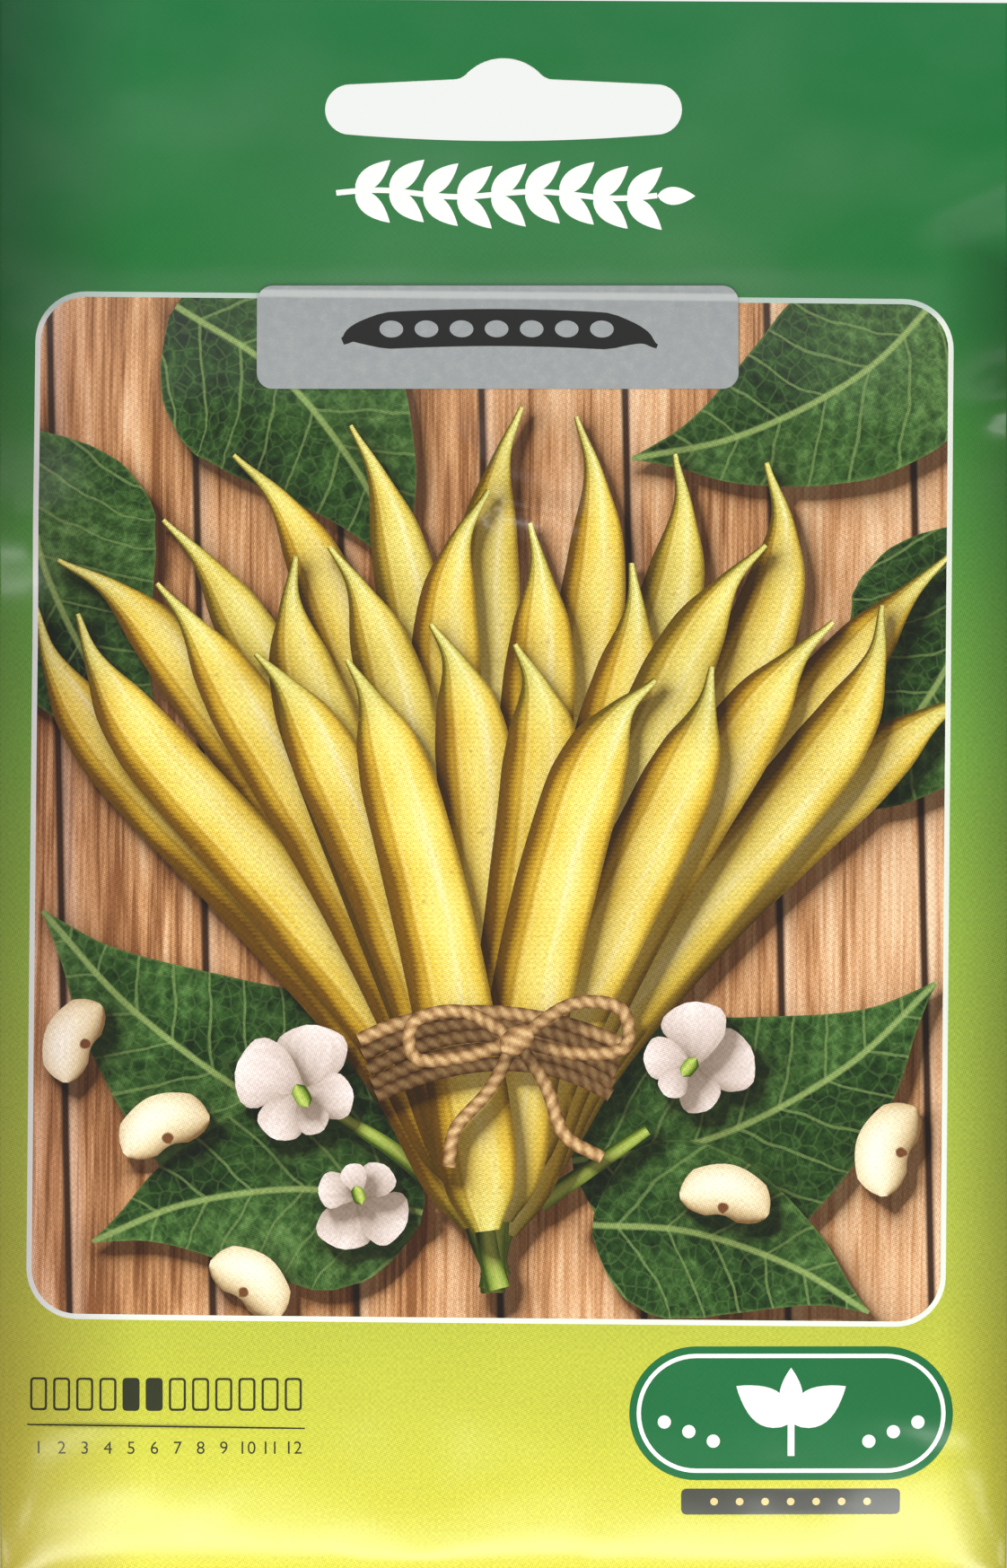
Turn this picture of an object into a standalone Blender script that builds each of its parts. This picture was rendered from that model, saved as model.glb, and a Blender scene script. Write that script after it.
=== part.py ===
"""Seed packet: a printed paper pouch with a punched hang slot, a stuck-on label and loose bean seeds.

The packet hangs upright: +X to the right, the front faces -Y, +Z up. The origin is where a display
peg bears on the top of the hang slot. Units are metres.
"""

import math
import random

import bmesh
import bpy

MM = 0.001

# Overall size of the folded packet
WIDTH = 95.0 * MM
TOP_LEFT = 5.7 * MM
TOP_RIGHT = 5.2 * MM
BOTTOM = -143.1 * MM

# The paper web, and the glue line between two plies that lie on each other
PAPER = 0.20 * MM
GLUE = 0.15 * MM
PITCH = PAPER + GLUE
FOLD_RADIUS = PITCH / 2
INNER_HALF = WIDTH / 2 - PAPER / 2 - FOLD_RADIUS

# Lap seam up the back, seen from the front
LAP_RIGHT = 6.0 * MM
LAP_LEFT = -3.0 * MM
LAP_START = LAP_RIGHT + 0.4 * MM
LAP_STEP = 2.2 * MM

# The turned-up bottom, and the line that both plies bend round, a ply and a half above the bottom
FLAP_HEIGHT = 12.0 * MM
BOTTOM_FOLD = BOTTOM + PITCH + FOLD_RADIUS + PAPER / 2

# Pouch: how far the front and the back stand off the flat header, and the share of that at FRONT_FULL
FRONT_BULGE = 2.0 * MM
BACK_BULGE = 5.8 * MM
FRONT_EARLY = 0.45
BACK_EARLY = 0.35
FRONT_ROUNDING = 8.0
BACK_ROUNDING = 3.0
SHOULDER = -17.0 * MM
FRONT_FULL = -36.0 * MM
BACK_FULL = -108.0 * MM
FRONT_TURN = -126.5 * MM
BACK_TURN = -115.0 * MM
TURN_POWER = 3.0
BOTTOM_SHIFT = 1.6 * MM

# Where the front starts to turn in lower down, at a pinch and at the corners: x, reach, how much lower
TURN_DELAYS = (
    (-8.1 * MM, 9.0 * MM, 12.0 * MM),
    (47.5 * MM, 7.0 * MM, 9.0 * MM),
    (-47.5 * MM, 6.0 * MM, 5.0 * MM),
)

# The valley across the packet below the header
VALLEY_Z = -20.0 * MM
VALLEY_DEPTH = 0.45 * MM
VALLEY_REACH = 4.0 * MM

# Dents along the side folds: x, z, half width, half height, depth
EDGE_DENTS = (
    (-46.0 * MM, -49.0 * MM, 7.0 * MM, 9.0 * MM, 0.55 * MM),
    (46.0 * MM, -31.0 * MM, 6.0 * MM, 8.0 * MM, 0.50 * MM),
    (46.5 * MM, -84.0 * MM, 6.0 * MM, 14.0 * MM, 0.35 * MM),
    (-46.5 * MM, -104.0 * MM, 6.0 * MM, 12.0 * MM, 0.35 * MM),
)

# Hang slot, a wide slot with a round bump for the peg
SLOT_HALF = 16.8 * MM
SLOT_TOP = -1.95 * MM
SLOT_TOP_END = -2.46 * MM
SLOT_LOW = -7.79 * MM
SLOT_LOW_END = -7.20 * MM
BUMP_RADIUS = 4.87 * MM
BUMP_CORNER = 0.7 * MM
BUMP_CORNER_DROP = 0.04 * MM
BUMP_ARC_SHARE = 0.82
CUTTER_REACH = 4.0 * MM

# Label across the top of the picture panel
LABEL_WIDTH = 45.3 * MM
LABEL_HEIGHT = 9.74 * MM
LABEL_PAPER = 0.12 * MM
LABEL_GAP = 0.30 * MM
LABEL_CENTRE = (-0.55 * MM, -26.3 * MM)
LABEL_CORNER = 1.5 * MM

# Seeds, in one layer behind the front of the pouch
SEED_HALF = (6.1 * MM, 3.7 * MM, 2.65 * MM)
SEED_BEND = 0.9 * MM
SEED_DIMPLE = 0.5 * MM
SEED_DIMPLE_REACH = 0.35
SEED_COUNT = 20
SEED_REGION = (-33.0 * MM, 33.0 * MM, -134.0 * MM, -94.0 * MM)
SEED_CLEAR = 0.35 * MM
SEED_END_DROP = 0.45
SEED_END_RADIUS = 0.98
SEED_TILT = 75.0
SEED_SIZES = (0.94, 1.03)
SEED_TRIES = 6000
SEED_RANDOM = 7
SEED_SEGMENTS = 14
SEED_RINGS = 9

# Grid of the web's surface
FRONT_COLUMNS = 24
BACK_COLUMNS = 18
FOLD_STEPS = 4
BOTTOM_STEPS = 6
POUCH_ROWS = 22
TURN_ROWS = 6
HEADER_ROWS = 3


def ramp(value, start, end):
    """Smooth step from 0 at start to 1 at end."""
    t = min(max((value - start) / (end - start), 0.0), 1.0)
    return t * t * (3.0 - 2.0 * t)


def hill(distance, reach):
    """Bell that is 1 at no distance and nearly 0 at three reaches."""
    return math.exp(-((distance / reach) ** 2))


def turn_in(z, start):
    """1 above start, falling in a curve to 0 at the bottom fold."""
    fall = min(max((start - z) / (start - BOTTOM_FOLD), 0.0), 1.0)
    return 1.0 - fall**TURN_POWER


def turn_delay(x):
    """How much lower the front starts to turn in than FRONT_TURN."""
    return sum(delay * hill(x - delay_x, reach) for delay_x, reach, delay in TURN_DELAYS)


def pouch_rise(z, early):
    """0 at the shoulder, an early share of the full depth below it, and 1 where the back is full."""
    return early * ramp(z, SHOULDER, FRONT_FULL) + (1.0 - early) * ramp(z, FRONT_FULL, BACK_FULL)


def side_profile(x, power):
    """1 across the middle, rounding over to 0 at the side folds."""
    return 1.0 - min(abs(x) / INNER_HALF, 1.0) ** power


def middle_shift(x, z):
    """How far the middle of the packet lies behind the flat header."""
    shift = BOTTOM_SHIFT * ramp(z, FRONT_TURN, BOTTOM)
    shift += VALLEY_DEPTH * hill(z - VALLEY_Z, VALLEY_REACH) * side_profile(x, 4.0)
    for dent_x, dent_z, half_width, half_height, depth in EDGE_DENTS:
        shift += depth * hill(x - dent_x, half_width) * hill(z - dent_z, half_height)
    return shift


def front_bulge(x, z):
    """How far the front ply stands forward of the header's front ply."""
    bulge = FRONT_BULGE * pouch_rise(z, FRONT_EARLY) * side_profile(x, FRONT_ROUNDING)
    return bulge * turn_in(z, FRONT_TURN - turn_delay(x))


def back_bulge(x, z):
    """How far the back ply stands behind the header's back ply."""
    bulge = BACK_BULGE * pouch_rise(z, BACK_EARLY) * side_profile(x, BACK_ROUNDING)
    return bulge * turn_in(z, BACK_TURN)


def lap_lift(x):
    """1 where the outer end of the web lies on the inner end, 0 clear of the lap."""
    return ramp(x, LAP_START + LAP_STEP, LAP_START)


def seam_rise(x, z):
    """How far the turned-up bottom is drawn up at the seam, so that its thicker fold stays level."""
    return PITCH * lap_lift(x) * ramp(z, BOTTOM_FOLD + FLAP_HEIGHT, BOTTOM_FOLD)


def spread(start, end, count):
    """Evenly spaced values from start to end, both included."""
    return [start + (end - start) * i / count for i in range(count + 1)]


def web_columns():
    """The web's section from its inner end round to its outer end: x, offset to the back, ply."""
    columns = []
    for x in spread(LAP_RIGHT, -INNER_HALF, BACK_COLUMNS // 2 + 2)[:-1]:
        columns.append((x, FOLD_RADIUS, "back"))
    for angle in spread(90.0, -90.0, FOLD_STEPS):
        turn = math.radians(angle)
        ply = "back" if angle > 0 else "front"
        columns.append((-INNER_HALF - FOLD_RADIUS * math.cos(turn), FOLD_RADIUS * math.sin(turn), ply))
    for x in spread(-INNER_HALF, INNER_HALF, FRONT_COLUMNS)[1:-1]:
        columns.append((x, -FOLD_RADIUS, "front"))
    for angle in spread(-90.0, 90.0, FOLD_STEPS):
        turn = math.radians(angle)
        ply = "back" if angle > 0 else "front"
        columns.append((INNER_HALF + FOLD_RADIUS * math.cos(turn), FOLD_RADIUS * math.sin(turn), ply))
    outer = spread(INNER_HALF, LAP_START + LAP_STEP, BACK_COLUMNS // 2)[1:]
    outer += spread(LAP_START + LAP_STEP, LAP_START, 3)[1:]
    outer += spread(LAP_START, LAP_LEFT, 2)[1:]
    for x in outer:
        columns.append((x, FOLD_RADIUS + PITCH * lap_lift(x), "back"))
    return columns


def web_rows():
    """Rows down the web: the stretch that each lies in, and its height or its angle round the fold."""
    turn_heights = spread(BOTTOM_FOLD, BOTTOM_FOLD + FLAP_HEIGHT, TURN_ROWS)
    rows = [("pouch", z) for z in spread(TOP_RIGHT, SHOULDER, HEADER_ROWS)[:-1]]
    rows += [("pouch", z) for z in spread(SHOULDER, turn_heights[-1], POUCH_ROWS)[:-1]]
    rows += [("pouch", z) for z in reversed(turn_heights)]
    rows += [("fold", math.radians(angle)) for angle in spread(0.0, 180.0, BOTTOM_STEPS)[1:-1]]
    rows += [("flap", z) for z in turn_heights]
    return rows


def web_point(column, row):
    """Place of the paper's middle surface for one column and one row of the web."""
    x, offset, ply = column
    stretch, value = row
    bend = PITCH * (1.0 + lap_lift(x))
    level = BOTTOM_FOLD if stretch == "fold" else value
    middle = middle_shift(x, level)
    back = back_bulge(x, level)
    z = level + seam_rise(x, level)
    if stretch == "pouch":
        bulge = -front_bulge(x, level) if ply == "front" else back
        if value == TOP_RIGHT:
            z += (TOP_LEFT - TOP_RIGHT) * (0.5 - x / WIDTH)
        return (x, middle + offset + bulge, z)
    if stretch == "fold":
        across = bend - (bend - offset) * math.cos(value)
        return (x, middle + across, z - (bend - offset) * math.sin(value))
    return (x, middle + back + 2.0 * bend - offset, z)


def new_mesh_object(name, mesh, collection):
    """Object for a mesh, in a collection."""
    obj = bpy.data.objects.new(name, mesh)
    collection.objects.link(obj)
    return obj


def paint(mesh, name, colour, roughness):
    """One plain Principled material for a mesh."""
    material = bpy.data.materials.new(name)
    material.use_nodes = True
    shader = material.node_tree.nodes["Principled BSDF"]
    shader.inputs["Base Color"].default_value = (*colour, 1.0)
    shader.inputs["Roughness"].default_value = roughness
    shader.inputs["Metallic"].default_value = 0.0
    material.diffuse_color = (*colour, 1.0)
    mesh.materials.append(material)


def thicken(obj, thickness):
    """Give an open sheet its thickness, half to each side."""
    solid = obj.modifiers.new("paper thickness", "SOLIDIFY")
    solid.thickness = thickness
    solid.offset = 0.0


def arc(centre_x, centre_z, radius, start, end, steps):
    """Points along an arc, with angles in degrees from +X towards +Z."""
    turns = [math.radians(angle) for angle in spread(start, end, steps)]
    return [(centre_x + radius * math.cos(turn), centre_z + radius * math.sin(turn)) for turn in turns]


def soft_corner(before, corner, after):
    """A corner as the middle points of a quadratic curve between its two neighbours."""
    points = []
    for t in spread(0.0, 1.0, 4)[1:-1]:
        weights = ((1.0 - t) ** 2, 2.0 * t * (1.0 - t), t**2)
        points.append(tuple(sum(w * p[i] for w, p in zip(weights, (before, corner, after))) for i in (0, 1)))
    return points


def slot_outline():
    """Hang slot, anticlockwise from the right end of its bump: a wide slot with bowed long edges."""
    end_radius = (SLOT_TOP_END - SLOT_LOW_END) / 2
    end_z = (SLOT_TOP_END + SLOT_LOW_END) / 2
    end_x = SLOT_HALF - end_radius
    half_angle = math.degrees(math.acos((SLOT_TOP + BUMP_RADIUS) / BUMP_RADIUS))
    corner_x = BUMP_RADIUS * math.sin(math.radians(half_angle))
    arc_half = half_angle * BUMP_ARC_SHARE
    bump = arc(0.0, -BUMP_RADIUS, BUMP_RADIUS, 90.0 - arc_half, 90.0 + arc_half, 10)
    shoulder = (-corner_x - BUMP_CORNER, SLOT_TOP - BUMP_CORNER_DROP)
    left_corner = soft_corner(bump[-1], (-corner_x, SLOT_TOP), shoulder)
    right_corner = [(-x, z) for x, z in reversed(left_corner)]
    left_end = arc(-end_x, end_z, end_radius, 90.0, 270.0, 8)
    right_end = arc(end_x, end_z, end_radius, -90.0, 90.0, 8)
    lower = []
    for x in spread(-end_x, end_x, 12)[1:-1]:
        lower.append((x, SLOT_LOW + (SLOT_LOW_END - SLOT_LOW) * (x / end_x) ** 2))
    outline = bump + left_corner + [shoulder] + left_end + lower + right_end
    return outline + [(-shoulder[0], shoulder[1])] + right_corner


def slot_cutter(collection):
    """Hang slot outline as a closed solid that passes through the header."""
    shape = bmesh.new()
    face = shape.faces.new([shape.verts.new((x, -CUTTER_REACH, z)) for x, z in slot_outline()])
    swept = bmesh.ops.extrude_face_region(shape, geom=[face])
    moved = [item for item in swept["geom"] if isinstance(item, bmesh.types.BMVert)]
    bmesh.ops.translate(shape, verts=moved, vec=(0.0, 2.0 * CUTTER_REACH, 0.0))
    bmesh.ops.recalc_face_normals(shape, faces=shape.faces)
    mesh = bpy.data.meshes.new("slot_cutter")
    shape.to_mesh(mesh)
    shape.free()
    cutter = new_mesh_object("slot_cutter", mesh, collection)
    cutter.hide_render = True
    cutter.display_type = "WIRE"
    return cutter


def make_packet_body(collection, cutters):
    """The folded web: an open surface loft, thickened, with the hang slot punched through."""
    columns = web_columns()
    rows = web_rows()
    shape = bmesh.new()
    grid = [[shape.verts.new(web_point(column, row)) for column in columns] for row in rows]
    for upper, lower in zip(grid, grid[1:]):
        for i in range(len(columns) - 1):
            shape.faces.new((upper[i], lower[i], lower[i + 1], upper[i + 1]))
    bmesh.ops.recalc_face_normals(shape, faces=shape.faces)
    mesh = bpy.data.meshes.new("packet_body")
    shape.to_mesh(mesh)
    shape.free()
    mesh.shade_smooth()
    body = new_mesh_object("packet_body", mesh, collection)
    thicken(body, PAPER)
    punch = body.modifiers.new("hang slot", "BOOLEAN")
    punch.operation = "DIFFERENCE"
    punch.object = slot_cutter(cutters)
    paint(mesh, "printed_paper", (0.33, 0.45, 0.10), 0.32)


def make_title_label(collection):
    """A rounded paper rectangle that follows the front of the pouch."""
    shape = bmesh.new()
    bmesh.ops.create_grid(shape, x_segments=14, y_segments=4, size=0.5)
    for vert in shape.verts:
        vert.co.x *= LABEL_WIDTH
        vert.co.y *= LABEL_HEIGHT
    corners = [vert for vert in shape.verts if len(vert.link_edges) == 2]
    bmesh.ops.bevel(shape, geom=corners, affect="VERTICES", offset=LABEL_CORNER, segments=4, profile=0.5)
    stand_off = FOLD_RADIUS + PAPER / 2 + LABEL_GAP + LABEL_PAPER / 2
    for vert in shape.verts:
        x = LABEL_CENTRE[0] + vert.co.x
        z = LABEL_CENTRE[1] + vert.co.y
        vert.co = (x, middle_shift(x, z) - front_bulge(x, z) - stand_off, z)
    bmesh.ops.recalc_face_normals(shape, faces=shape.faces)
    mesh = bpy.data.meshes.new("title_label")
    shape.to_mesh(mesh)
    shape.free()
    label = new_mesh_object("title_label", mesh, collection)
    thicken(label, LABEL_PAPER)
    paint(mesh, "label_paper", (0.62, 0.62, 0.58), 0.45)


def seed_point(length, thickness, height):
    """Point of a kidney-shaped seed from a point of the unit sphere."""
    x = SEED_HALF[0] * length
    z = SEED_HALF[1] * height - SEED_BEND * length**2
    if height < 0.0:
        z += SEED_DIMPLE * hill(length, SEED_DIMPLE_REACH) * abs(height)
    return x, SEED_HALF[2] * thickness, z


def seed_mesh():
    """One seed, long along X, with its hollow side down and a dimple for the eye."""
    shape = bmesh.new()
    bmesh.ops.create_uvsphere(shape, u_segments=SEED_SEGMENTS, v_segments=SEED_RINGS, radius=1.0)
    for vert in shape.verts:
        vert.co = seed_point(vert.co.z, vert.co.x, vert.co.y)
    bmesh.ops.recalc_face_normals(shape, faces=shape.faces)
    mesh = bpy.data.meshes.new("bean_seed")
    shape.to_mesh(mesh)
    shape.free()
    mesh.shade_smooth()
    return mesh


def seed_places():
    """Seeded random places in the pouch, lowest first, where the seeds clear each other."""
    draw = random.Random(SEED_RANDOM)
    left, right, low, high = SEED_REGION
    places = []
    tries = 0
    while len(places) < SEED_COUNT:
        tries += 1
        level = low + SEED_HALF[1] + (high - low) * min(tries / SEED_TRIES, 1.0)
        x = draw.uniform(left, right)
        z = draw.uniform(low, level)
        tilt = draw.uniform(-SEED_TILT, SEED_TILT)
        size = draw.uniform(*SEED_SIZES)
        clear = all(clear_of(x, z, tilt, size, other) for other in places)
        if clear and in_pouch(x, z, tilt, size):
            places.append((x, z, tilt, size))
    return places


def pouch_walls(x, z):
    """Middle surfaces of the front and back plies at one place."""
    middle = middle_shift(x, z)
    return middle - FOLD_RADIUS - front_bulge(x, z), middle + FOLD_RADIUS + back_bulge(x, z)


def in_pouch(x, z, tilt, size):
    """Whether a seed half way between the plies clears both of them."""
    turn = math.radians(tilt)
    front, back = pouch_walls(x, z)
    depth = (front + back) / 2
    room = PAPER / 2 + SEED_CLEAR
    for ring in spread(0.0, 150.0, 5):
        across = math.radians(ring)
        for step in spread(0.0, 330.0, 11):
            around = math.radians(step)
            radius = math.sin(across)
            point = (math.cos(across), radius * math.cos(around), radius * math.sin(around))
            dx, dy, dz = (size * value for value in seed_point(*point))
            at_x = x + dx * math.cos(turn) - dz * math.sin(turn)
            at_z = z + dx * math.sin(turn) + dz * math.cos(turn)
            front, back = pouch_walls(at_x, at_z)
            if depth + dy > back - room or depth + dy < front + room:
                return False
    return True


def seed_discs(x, z, tilt, size):
    """Three discs that together cover a seed's outline in the plane of the packet."""
    turn = math.radians(tilt)
    reach = size * (SEED_HALF[0] - SEED_HALF[1])
    for step in (-1.0, 0.0, 1.0):
        along = step * reach
        drop = -SEED_BEND * size * SEED_END_DROP * abs(step)
        radius = SEED_HALF[1] * size * (1.0 if step == 0.0 else SEED_END_RADIUS)
        centre_x = x + along * math.cos(turn) - drop * math.sin(turn)
        centre_z = z + along * math.sin(turn) + drop * math.cos(turn)
        yield centre_x, centre_z, radius


def clear_of(x, z, tilt, size, other):
    """Whether a seed at this place clears another seed."""
    for ax, az, a_radius in seed_discs(x, z, tilt, size):
        for bx, bz, b_radius in seed_discs(*other):
            if math.hypot(ax - bx, az - bz) < a_radius + b_radius + SEED_CLEAR:
                return False
    return True


def make_seeds(collection):
    """The loose seeds, each an object of its own with one shared mesh."""
    mesh = seed_mesh()
    paint(mesh, "seed_coat", (0.80, 0.74, 0.60), 0.40)
    for number, (x, z, tilt, size) in enumerate(seed_places(), start=1):
        seed = new_mesh_object(f"bean_seed_{number:02d}", mesh, collection)
        front, back = pouch_walls(x, z)
        seed.location = (x, (front + back) / 2, z)
        seed.rotation_euler = (0.0, -math.radians(tilt), 0.0)
        seed.scale = (size, size, size)


def main():
    """Clear the file and build the packet."""
    for obj in list(bpy.data.objects):
        bpy.data.objects.remove(obj, do_unlink=True)
    packet = bpy.data.collections.new("seed_packet")
    cutters = bpy.data.collections.new("cutters")
    bpy.context.scene.collection.children.link(packet)
    bpy.context.scene.collection.children.link(cutters)
    make_packet_body(packet, cutters)
    make_title_label(packet)
    make_seeds(packet)


main()
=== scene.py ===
"""Looks of the seed packet: its paper skin with all the print, the label, the seeds and the studio."""

import math

import bpy
import numpy as np
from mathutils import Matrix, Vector
from mathutils.geometry import delaunay_2d_cdt


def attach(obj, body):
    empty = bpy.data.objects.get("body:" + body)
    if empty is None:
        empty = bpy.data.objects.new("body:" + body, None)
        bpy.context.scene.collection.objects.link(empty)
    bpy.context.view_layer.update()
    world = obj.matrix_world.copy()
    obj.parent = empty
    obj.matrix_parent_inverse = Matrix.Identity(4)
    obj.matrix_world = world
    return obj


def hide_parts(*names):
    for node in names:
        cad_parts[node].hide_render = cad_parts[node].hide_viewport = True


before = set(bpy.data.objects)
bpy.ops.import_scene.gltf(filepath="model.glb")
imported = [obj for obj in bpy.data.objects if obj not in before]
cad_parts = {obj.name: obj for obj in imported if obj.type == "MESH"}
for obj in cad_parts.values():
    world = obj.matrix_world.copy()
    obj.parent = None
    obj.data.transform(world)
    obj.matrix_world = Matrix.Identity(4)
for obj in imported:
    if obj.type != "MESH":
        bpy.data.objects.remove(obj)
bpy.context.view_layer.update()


def srgb(red, green, blue):
    """Linear colour from screen values of 0 to 255."""
    values = np.array((red, green, blue)) / 255.0
    linear = np.where(values <= 0.04045, values / 12.92, ((values + 0.055) / 1.055) ** 2.4)
    return tuple(float(v) for v in linear)


# Lengths are in millimetres up to the moment that a mesh is made. MM turns them into metres
MM = 0.001

# The folded packet, with the same sizes as its solids
WIDTH = 95.0
TOP_LEFT = 5.7
TOP_RIGHT = 5.2
BOTTOM = -143.1
PAPER = 0.20
GLUE = 0.15
PITCH = PAPER + GLUE
FOLD_RADIUS = PITCH / 2
INNER_HALF = WIDTH / 2 - PAPER / 2 - FOLD_RADIUS
LAP_RIGHT = 6.0
LAP_LEFT = -3.0
LAP_START = LAP_RIGHT + 0.4
LAP_STEP = 2.2
FLAP_HEIGHT = 12.0
BOTTOM_FOLD = BOTTOM + PITCH + FOLD_RADIUS + PAPER / 2
FRONT_BULGE = 2.0
BACK_BULGE = 5.8
FRONT_EARLY = 0.45
BACK_EARLY = 0.35
FRONT_ROUNDING = 8.0
BACK_ROUNDING = 3.0
SHOULDER = -17.0
FRONT_FULL = -36.0
BACK_FULL = -108.0
FRONT_TURN = -126.5
BACK_TURN = -115.0
TURN_POWER = 3.0
BOTTOM_SHIFT = 1.6
VALLEY_Z = -20.0
VALLEY_DEPTH = 0.45
VALLEY_REACH = 4.0
# Dents in the side edges: x, z, half width, half height and depth
EDGE_DENTS = (
    (-46.0, -49.0, 7.0, 9.0, 0.55),
    (46.0, -31.0, 6.0, 8.0, 0.50),
    (46.5, -84.0, 6.0, 14.0, 0.35),
    (-46.5, -104.0, 6.0, 12.0, 0.35),
)
SLOT_HALF = 16.8
SLOT_TOP = -1.95
SLOT_TOP_END = -2.46
SLOT_LOW = -7.79
SLOT_LOW_END = -7.20
BUMP_RADIUS = 4.87
BUMP_CORNER = 0.7
BUMP_CORNER_DROP = 0.04
BUMP_ARC_SHARE = 0.82

# Relief that is too fine for the solids
SKIN = 0.13
# The front rolls in below this height. Some places are later or sooner by a delay: x, reach, delay
FRONT_ROLL = -131.5
ROLL_POWER = 2.0
LIP_POWER = 12.0
LIP_SHARE = 0.15
ROLL_DELAYS = ((-35.0, 10.0, -4.2), (-8.1, 6.0, 3.5), (38.0, 8.5, -5.0), (48.5, 2.6, 7.0))
# Near the bottom the front keeps its depth further out to the sides
FOOT_ROUNDING = 16.0
FOOT_TOP = -116.0
FOOT_FULL = -134.0
# How far the seeds press the front and the back ply out, and the half size of a bump
SEED_PRESS = (0.08, 0.55)
SEED_REACH = (6.4, 4.2)
# Creases: the plies, the two ends, the half width and the height, which is negative for a groove
CREASES = (
    ("back", (-44.0, -22.0), (-24.0, -42.0), 1.6, -0.30),
    ("back", (44.5, -24.0), (22.0, -47.0), 1.8, -0.34),
    ("back", (-45.0, -62.0), (-27.0, -70.0), 2.0, -0.22),
    ("back", (45.0, -70.0), (30.0, -79.0), 2.2, -0.22),
    ("front", (-4.0, -35.0), (0.5, -42.0), 1.3, 0.45),
    ("front", (-2.5, -41.6), (9.5, -44.0), 1.8, 0.95),
    ("both", (-52.0, -43.0), (-38.0, -46.0), 6.0, 1.75),
    ("both", (51.0, -9.8), (35.0, -17.0), 2.8, -0.55),
    ("both", (51.0, -31.0), (42.0, -34.0), 3.0, 1.10),
    ("both", (-34.0, -162.0), (-34.0, -128.0), 9.0, -0.55),
    ("both", (39.0, -162.0), (39.0, -128.0), 9.0, -0.95),
    ("front", (-8.1, -147.0), (-8.1, -118.0), 7.0, -0.70),
    ("front", (-36.0, -147.0), (-36.0, -112.0), 9.0, 0.25),
    ("front", (39.0, -147.0), (39.0, -112.0), 8.0, 0.30),
)

# The web laid flat: lengths along its section from its inner end, and past the bottom fold
BACK_ARC = LAP_RIGHT + INNER_HALF
FOLD_ARC = math.pi * FOLD_RADIUS
FRONT_START = BACK_ARC + FOLD_ARC
FRONT_END = FRONT_START + 2 * INNER_HALF
OUTER_START = FRONT_END + FOLD_ARC
WEB_END = OUTER_START + INNER_HALF - LAP_LEFT
BEND_ARC = math.pi * PITCH
LEAN_STEP = 0.1
FLAP_START = BOTTOM_FOLD - BEND_ARC
WEB_FOOT = FLAP_START - FLAP_HEIGHT

# The print on the front. Its panel is turned a little against the packet
PANEL_CENTRE = (-1.25, -70.62)
PANEL_TURN = -0.53
PANEL_SIZE = (85.9, 96.12)
PANEL_CORNER = 4.5
PANEL_LINE = 0.50
PANEL_MARGIN = 1.5
LABEL_SIZE = (45.3, 9.74)
LABEL_CENTRE = (-0.55, -26.3)
LABEL_CORNER = 1.5
LABEL_PAPER = 0.10
LABEL_LIFT = 0.06
LABEL_SHOWS = 3.95
LABEL_CURL = 0.05
LABEL_CURL_REACH = 3.0
HEADER_MARK = (-0.64, -12.8)
TWIG_LENGTH = 30.2
TWIG_SWAY = 0.28
TWIG_TURN = 0.42
FRONT_SCALE = (-31.7, -128.5)
FRONT_SCALE_WIDTH = 26.1
BADGE = (27.0, -127.4)

# Months with a filled box, counted from 1. A digit's height, and what share of its font's size that is
SOWN = (5, 6)
HARVESTED = (8, 9)
SCALE_DIGIT = 1.2
DIGIT_SHARE = 0.7

# The print on the back, as seen from behind
BACK_PANELS = ((-27.5, -66.0), (27.0, -66.0))
BACK_PANEL_SIZE = (32.0, 62.0)

INK_WHITE = srgb(234, 240, 232)
INK_DARK = srgb(46, 50, 30)
INK_GREEN = srgb(28, 104, 58)
INK_GREY = srgb(66, 68, 60)
INK_SAND = srgb(214, 190, 130)
INK_PALE = srgb(226, 232, 196)
INK_LEAF = srgb(60, 118, 70)

# The picture. Its pods fan out from a pivot
PIVOT = (0.5, -46.0)
# Rows of the sheaf, back to front: number of pods, widest angle, reach and half width
POD_ROWS = ((11, 35.0, 83.0, 3.5), (10, 31.0, 74.0, 3.7), (6, 19.0, 64.0, 3.8))
POD_SIDE_REACH = 45.0
BOARD_WIDTH = 13.5
# Shadows fall this way and reach this far. Points in rings round each shape carry them
SHADOW_SHIFT = (0.9, -1.2)
SHADOW_REACH = 8.0
RING_GROWTHS = (0.45, 1.1)
# Triangles that belong to no printed shape
PLAIN = -1
BORDER = -2
GROUND = -3

# Dot screens of the press
SCREEN_PITCH = 0.179
SCREEN_ANGLES = (18.0, -17.5)
ROSETTE_PITCH = 0.423
PICTURE_SCREEN = 1.5

# Painted shade: the colour darkens towards the folds, where the paper turns away from the light, over these
# lengths from the left and the right fold
FOLD_SHADE_REACH = (13.5, 6.5)
FOLD_SHADE_GREEN = 0.2
# On the right this painted shade fades out upwards between these heights
FOLD_SHADE_FADE = (-26.0, -14.0)
# How strongly the coated paper mirrors
GLOSS = 0.34

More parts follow.
